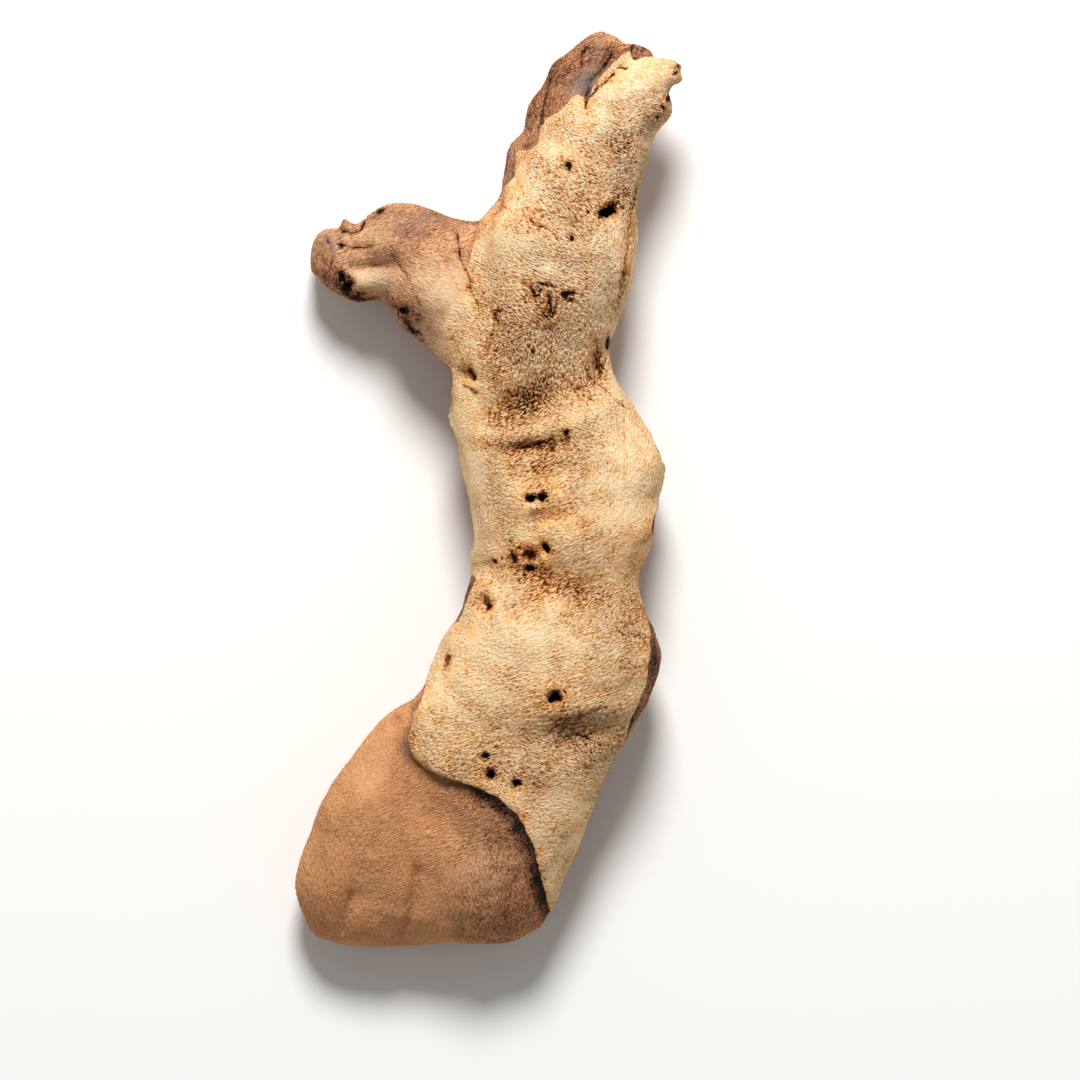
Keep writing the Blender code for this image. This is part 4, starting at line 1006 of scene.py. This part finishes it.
@dataclass(frozen=True)
class WeatheredMopani:
    """Sand-blasted mopani: pale bone-coloured sapwood over red-brown heartwood, dry and without gloss.

    The blasting cuts the soft early wood out of the grain into fine wrinkles, whose crests are painted
    paler as painted highlight and whose bottoms, creases, hollows and pits are darker as painted shade.
    Each kind of wood has a scale of colours from palest to near black, and the tone says where a place is.
    """

    sapwood: Stops = (
        (0.0, "#FFE6C3"), (0.22, "#F7D09D"), (0.42, "#EAAE70"), (0.6, "#C27A43"), (0.78, "#824822"),
        (1.0, "#1C0F08"),
    )
    heartwood: Stops = (
        (0.0, "#EDCAA0"), (0.28, "#D8A376"), (0.5, "#B97F57"), (0.7, "#895434"), (0.85, "#553627"),
        (1.0, "#1A100B"),
    )
    slate: str = "#79736F"
    rust: str = "#DF9B63"
    warmth: str = "#FFF8EC"
    # Bare, dry wood scatters nearly all its light; its index is that of cellulose.
    roughness: float = 0.9
    ior: float = 1.5
    specular: float = 0.08
    # Wrinkles are about 0.9 mm apart and 2 mm long, fibres 1 mm apart, and the pores 0.4 mm.
    # Each size is that of the noise's own cells: across, along and upright.
    wrinkle_mm: tuple[float, float, float] = (0.4, 1.15, 0.7)
    fibre_mm: tuple[float, float, float] = (0.4, 1.7, 1.0)

    def material(self) -> bpy.types.Material:
        """Builds the finish.

        Returns:
            The material.
        """
        made = bpy.data.materials.new("weathered_mopani")
        made.use_nodes = True
        tree = made.node_tree
        tree.nodes.clear()
        read = self.sockets(tree)
        colour = self.wood_colour(tree, read)
        # Pits and cracks are painted near black: partly dark knot wood, partly painted shade in their
        # depths.
        ragged = self.summed(tree, read, -0.9, PIT_AND_CRACK_BLACK)
        black = add_node(tree, "MapRange", (ragged, 0.42, 0.62))
        pit_black = linear(self.sapwood[-1][1])
        colour = add_node(tree, "Mix", {0: black, 6: colour, 7: pit_black}, 2, data_type="RGBA")
        lines = add_node(tree, "Mix", {0: read["wrinkled"], 2: read["fibre"], 3: read["wrinkle"]})
        deepness = add_node(tree, "MapRange", (read["rough"], 0.0, 1.0, 0.3, 1.0))
        coarse = add_node(tree, "Bump", {"Strength": deepness, "Distance": 3.6 * MM, "Height": lines})
        pores = {"Strength": 0.6, "Distance": 0.2 * MM, "Height": read["pores"], "Normal": coarse}
        shine = {"Roughness": self.roughness, "IOR": self.ior, "Specular IOR Level": self.specular}
        inputs = {"Base Color": colour, "Normal": add_node(tree, "Bump", pores), **shine}
        add_node(tree, "OutputMaterial", {"Surface": add_node(tree, "BsdfPrincipled", inputs)})
        return made

    def sockets(self, tree: Tree) -> Sockets:
        """Reads the skin's marks and draws the noises that the finish is mixed from.

        Args:
            tree: The material's node tree.

        Returns:
            A socket for each mark and noise, by name.
        """
        place = add_node(tree, "TexCoord", output="Object")
        read = {name: add_node(tree, "Attribute", output="Fac", attribute_name=name) for name in MARKS}
        for name, (mark, start, end) in LIMITED_MARKS.items():
            stored = add_node(tree, "Attribute", output="Fac", attribute_name=mark)
            read[name] = add_node(tree, "MapRange", (stored, start, end))
        for name, size in CLOUDS.items():
            cloud = {"Vector": place, "Scale": 1.0 / (size * MM), "Detail": 2.0}
            read[name] = add_node(tree, "TexNoise", cloud)
        read["wrinkle"] = self.streaks(tree, place, self.wrinkle_mm)
        read["fibre"] = self.streaks(tree, place, self.fibre_mm)
        return read

    def streaks(self, tree: Tree, place: Socket, size_mm: tuple[float, float, float]) -> Socket:
        """Makes noise that is drawn out along the stored direction.

        It is mixed from three noises that are drawn out 60 degrees apart.

        Args:
            tree: The material's node tree.
            place: The place on the wood.
            size_mm: Size of the noise's cells across, along and upright.

        Returns:
            Values about 0.5.
        """
        cells = tuple(size * MM for size in size_mm)
        drawn = []
        for turn in (0.0, 60.0, 120.0):
            turned = {"Vector": place, "Rotation": (0.0, 0.0, math.radians(turn)), "Scale": cells}
            turned = add_node(tree, "Mapping", turned, vector_type="TEXTURE")
            drawn.append(add_node(tree, "TexNoise", {"Vector": turned, "Scale": 1.0, "Detail": 2.0}))
        three = add_node(tree, "CombineXYZ", drawn)
        level = add_node(tree, "VectorMath", (three, (0.5, 0.5, 0.5)), operation="SUBTRACT")
        lean = add_node(tree, "Attribute", output="Vector", attribute_name="lean")
        mixed = add_node(tree, "VectorMath", (level, lean), "Value", operation="DOT_PRODUCT")
        return add_node(tree, "Math", (mixed, 0.5), operation="ADD")

    def summed(self, tree: Tree, read: Sockets, start: float, weights: Weights) -> Socket:
        """Adds up marks and noises, each times its weight.

        Args:
            tree: The material's node tree.
            read: The marks and noises.
            start: The sum's first number.
            weights: Which of them count, and how much.

        Returns:
            The sum.
        """
        total: object = start
        for name, weight in weights.items():
            total = add_node(tree, "Math", (read[name], weight, total), operation="MULTIPLY_ADD")
        return total

    def coloured(self, tree: Tree, tone_and_shade: Socket, stops: Stops) -> Socket:
        """Turns tone and painted shade into colour by a scale of colours.

        Args:
            tree: The material's node tree.
            tone_and_shade: 0 for the palest crest to 1 for a near-black bottom.
            stops: The scale's colours and where each lies.

        Returns:
            The colour.
        """
        colour: object = linear(stops[0][1])
        for (low, _), (high, code) in zip(stops, stops[1:]):
            share = add_node(tree, "MapRange", (tone_and_shade, low, high))
            colour = add_node(tree, "Mix", {0: share, 6: colour, 7: linear(code)}, 2, data_type="RGBA")
        return colour

    def wood_colour(self, tree: Tree, read: Sockets) -> Socket:
        """Mixes the colour of both kinds of wood, without the blackened places.

        Args:
            tree: The material's node tree.
            read: The marks and noises.

        Returns:
            The colour.
        """
        mix = {"data_type": "RGBA"}
        pale = self.coloured(tree, self.sapwood_tone_and_shade(tree, read), self.sapwood)
        warmed = {0: read["warm"], 6: pale, 7: linear(self.warmth)}
        pale = add_node(tree, "Mix", warmed, 2, blend_type="MULTIPLY", **mix)
        dark = self.coloured(tree, self.summed(tree, read, 1.085, HEARTWOOD_TONE_AND_SHADE), self.heartwood)
        foot = self.summed(tree, read, 0.0, {"foot": 0.7})
        rusty = add_node(tree, "Mix", {0: foot, 6: dark, 7: linear(self.rust)}, 2, **mix)
        rusty = add_node(tree, "Mix", {0: 0.45, 6: rusty, 7: dark}, 2, blend_type="DARKEN", **mix)
        cool = add_node(tree, "Math", (self.summed(tree, read, -0.5, COOLED), 0.0), operation="MAXIMUM")
        cooled = add_node(tree, "Mix", {0: cool, 6: rusty, 7: linear(self.slate)}, 2, **mix)
        edge = add_node(tree, "MapRange", (self.summed(tree, read, -0.3, CRUMBLED), 0.3, 0.7))
        return add_node(tree, "Mix", {0: edge, 6: cooled, 7: pale}, 2, **mix)

    def sapwood_tone_and_shade(self, tree: Tree, read: Sockets) -> Socket:
        """Says how pale or dark each place of the sapwood is painted, with its painted light and shade.

        Args:
            tree: The material's node tree.
            read: The marks and noises.

        Returns:
            0 for palest to 1 for near black.
        """
        # The wrinkles' crests are painted paler as painted highlight, and their bottoms darker as painted
        # shade.
        low = add_node(tree, "Math", (0.5, read["wrinkle"]), operation="SUBTRACT")
        bottoms = add_node(tree, "Math", (low, 0.0), operation="MAXIMUM")
        skewed = add_node(tree, "Math", (bottoms, 0.9, low), operation="MULTIPLY_ADD")
        amount = self.summed(tree, read, 0.4, WRINKLE_LIGHT_AND_SHADE)
        tone = self.summed(tree, read, -0.39, SAPWOOD_TONE)
        shaded_tone = add_node(tree, "Math", (skewed, amount, tone), operation="MULTIPLY_ADD")
        # Thin painted crease shadows run where the wrinkles' height is halfway.
        rise = add_node(tree, "Math", (low,), operation="ABSOLUTE")
        crease = add_node(tree, "MapRange", (rise, 0.0, 0.03, 1.0, 0.0))
        deep = self.summed(tree, read, 0.04, CREASE_SHADOW)
        return add_node(tree, "Math", (crease, deep, shaded_tone), operation="MULTIPLY_ADD")


@dataclass(frozen=True)
class PaintedBoard:
    """Matt white painted board, which the eye takes as a plain pale ground."""

    white: str = "#F7F6F3"

    def material(self) -> bpy.types.Material:
        """Builds the finish."""
        made = bpy.data.materials.new("white_painted_board")
        made.use_nodes = True
        shader = made.node_tree.nodes["Principled BSDF"]
        shader.inputs["Base Color"].default_value = linear(self.white)
        shader.inputs["Roughness"].default_value = 0.9
        shader.inputs["Specular IOR Level"].default_value = 0.1
        return made


@dataclass
class Studio:
    """A pale table, one soft key light from beyond the arm, open white light round it, and the camera."""

    table_size: float = 6.0
    sky: float = 0.29
    key_power: float = 47.0
    key_size: float = 0.62
    key_distance: float = 2.0
    key_azimuth_deg: float = 90.0
    key_height_deg: float = 47.0
    view_x: float = 14.64
    view_y: float = -14.0
    view_height: float = 2524.0
    lens: float = 297.6

    def build(self) -> None:
        """Makes the table, the light and the camera."""
        self.lay_table()
        self.hang_lights()
        self.set_camera()

    def lay_table(self) -> None:
        """Lays the table's top at the height that the wood rests on."""
        half = self.table_size / 2
        mesh = bpy.data.meshes.new("table_top")
        corners = [(-half, -half, 0), (half, -half, 0), (half, half, 0), (-half, half, 0)]
        mesh.from_pydata(corners, [], [(0, 1, 2, 3)])
        table = bpy.data.objects.new("table_top", mesh)
        bpy.context.scene.collection.objects.link(table)
        mesh.materials.append(PaintedBoard().material())

    def hang_lights(self) -> None:
        """Hangs the key light and sets the light that comes from all round."""
        world = bpy.data.worlds.new("white_room")
        bpy.context.scene.world = world
        world.use_nodes = True
        background = world.node_tree.nodes["Background"]
        background.inputs["Color"].default_value = (1.0, 1.0, 1.0, 1.0)
        background.inputs["Strength"].default_value = self.sky
        lamp = bpy.data.lights.new("key", "AREA")
        lamp.shape = "DISK"
        lamp.size = self.key_size
        lamp.energy = self.key_power
        key = bpy.data.objects.new("key", lamp)
        azimuth, height = math.radians(self.key_azimuth_deg), math.radians(self.key_height_deg)
        away = Vector(
            (math.cos(azimuth) * math.cos(height), math.sin(azimuth) * math.cos(height), math.sin(height))
        )
        key.location = away * self.key_distance
        key.rotation_mode = "QUATERNION"
        key.rotation_quaternion = away.to_track_quat("Z", "Y")
        bpy.context.scene.collection.objects.link(key)

    def set_camera(self) -> None:
        """Sets the camera straight above the wood, as the photograph was taken."""
        lens = bpy.data.cameras.new("camera")
        lens.lens = self.lens
        lens.sensor_width = 36.0
        lens.clip_start = 0.01
        lens.clip_end = 20.0
        camera = bpy.data.objects.new("camera", lens)
        camera.location = (self.view_x * MM, self.view_y * MM, self.view_height * MM)
        bpy.context.scene.collection.objects.link(camera)
        bpy.context.scene.camera = camera
        bpy.context.scene.view_settings.view_transform = "Standard"


def main() -> None:
    """Builds the wood and the studio."""
    logging.basicConfig(level=logging.INFO, format="%(name)s: %(message)s")
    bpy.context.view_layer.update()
    wood = MopaniWood().build()
    LOG.info("%s: %d faces", wood.name, len(wood.data.polygons))
    Studio().build()
    LOG.info("table, light and camera")


if __name__ == "__main__":
    main()
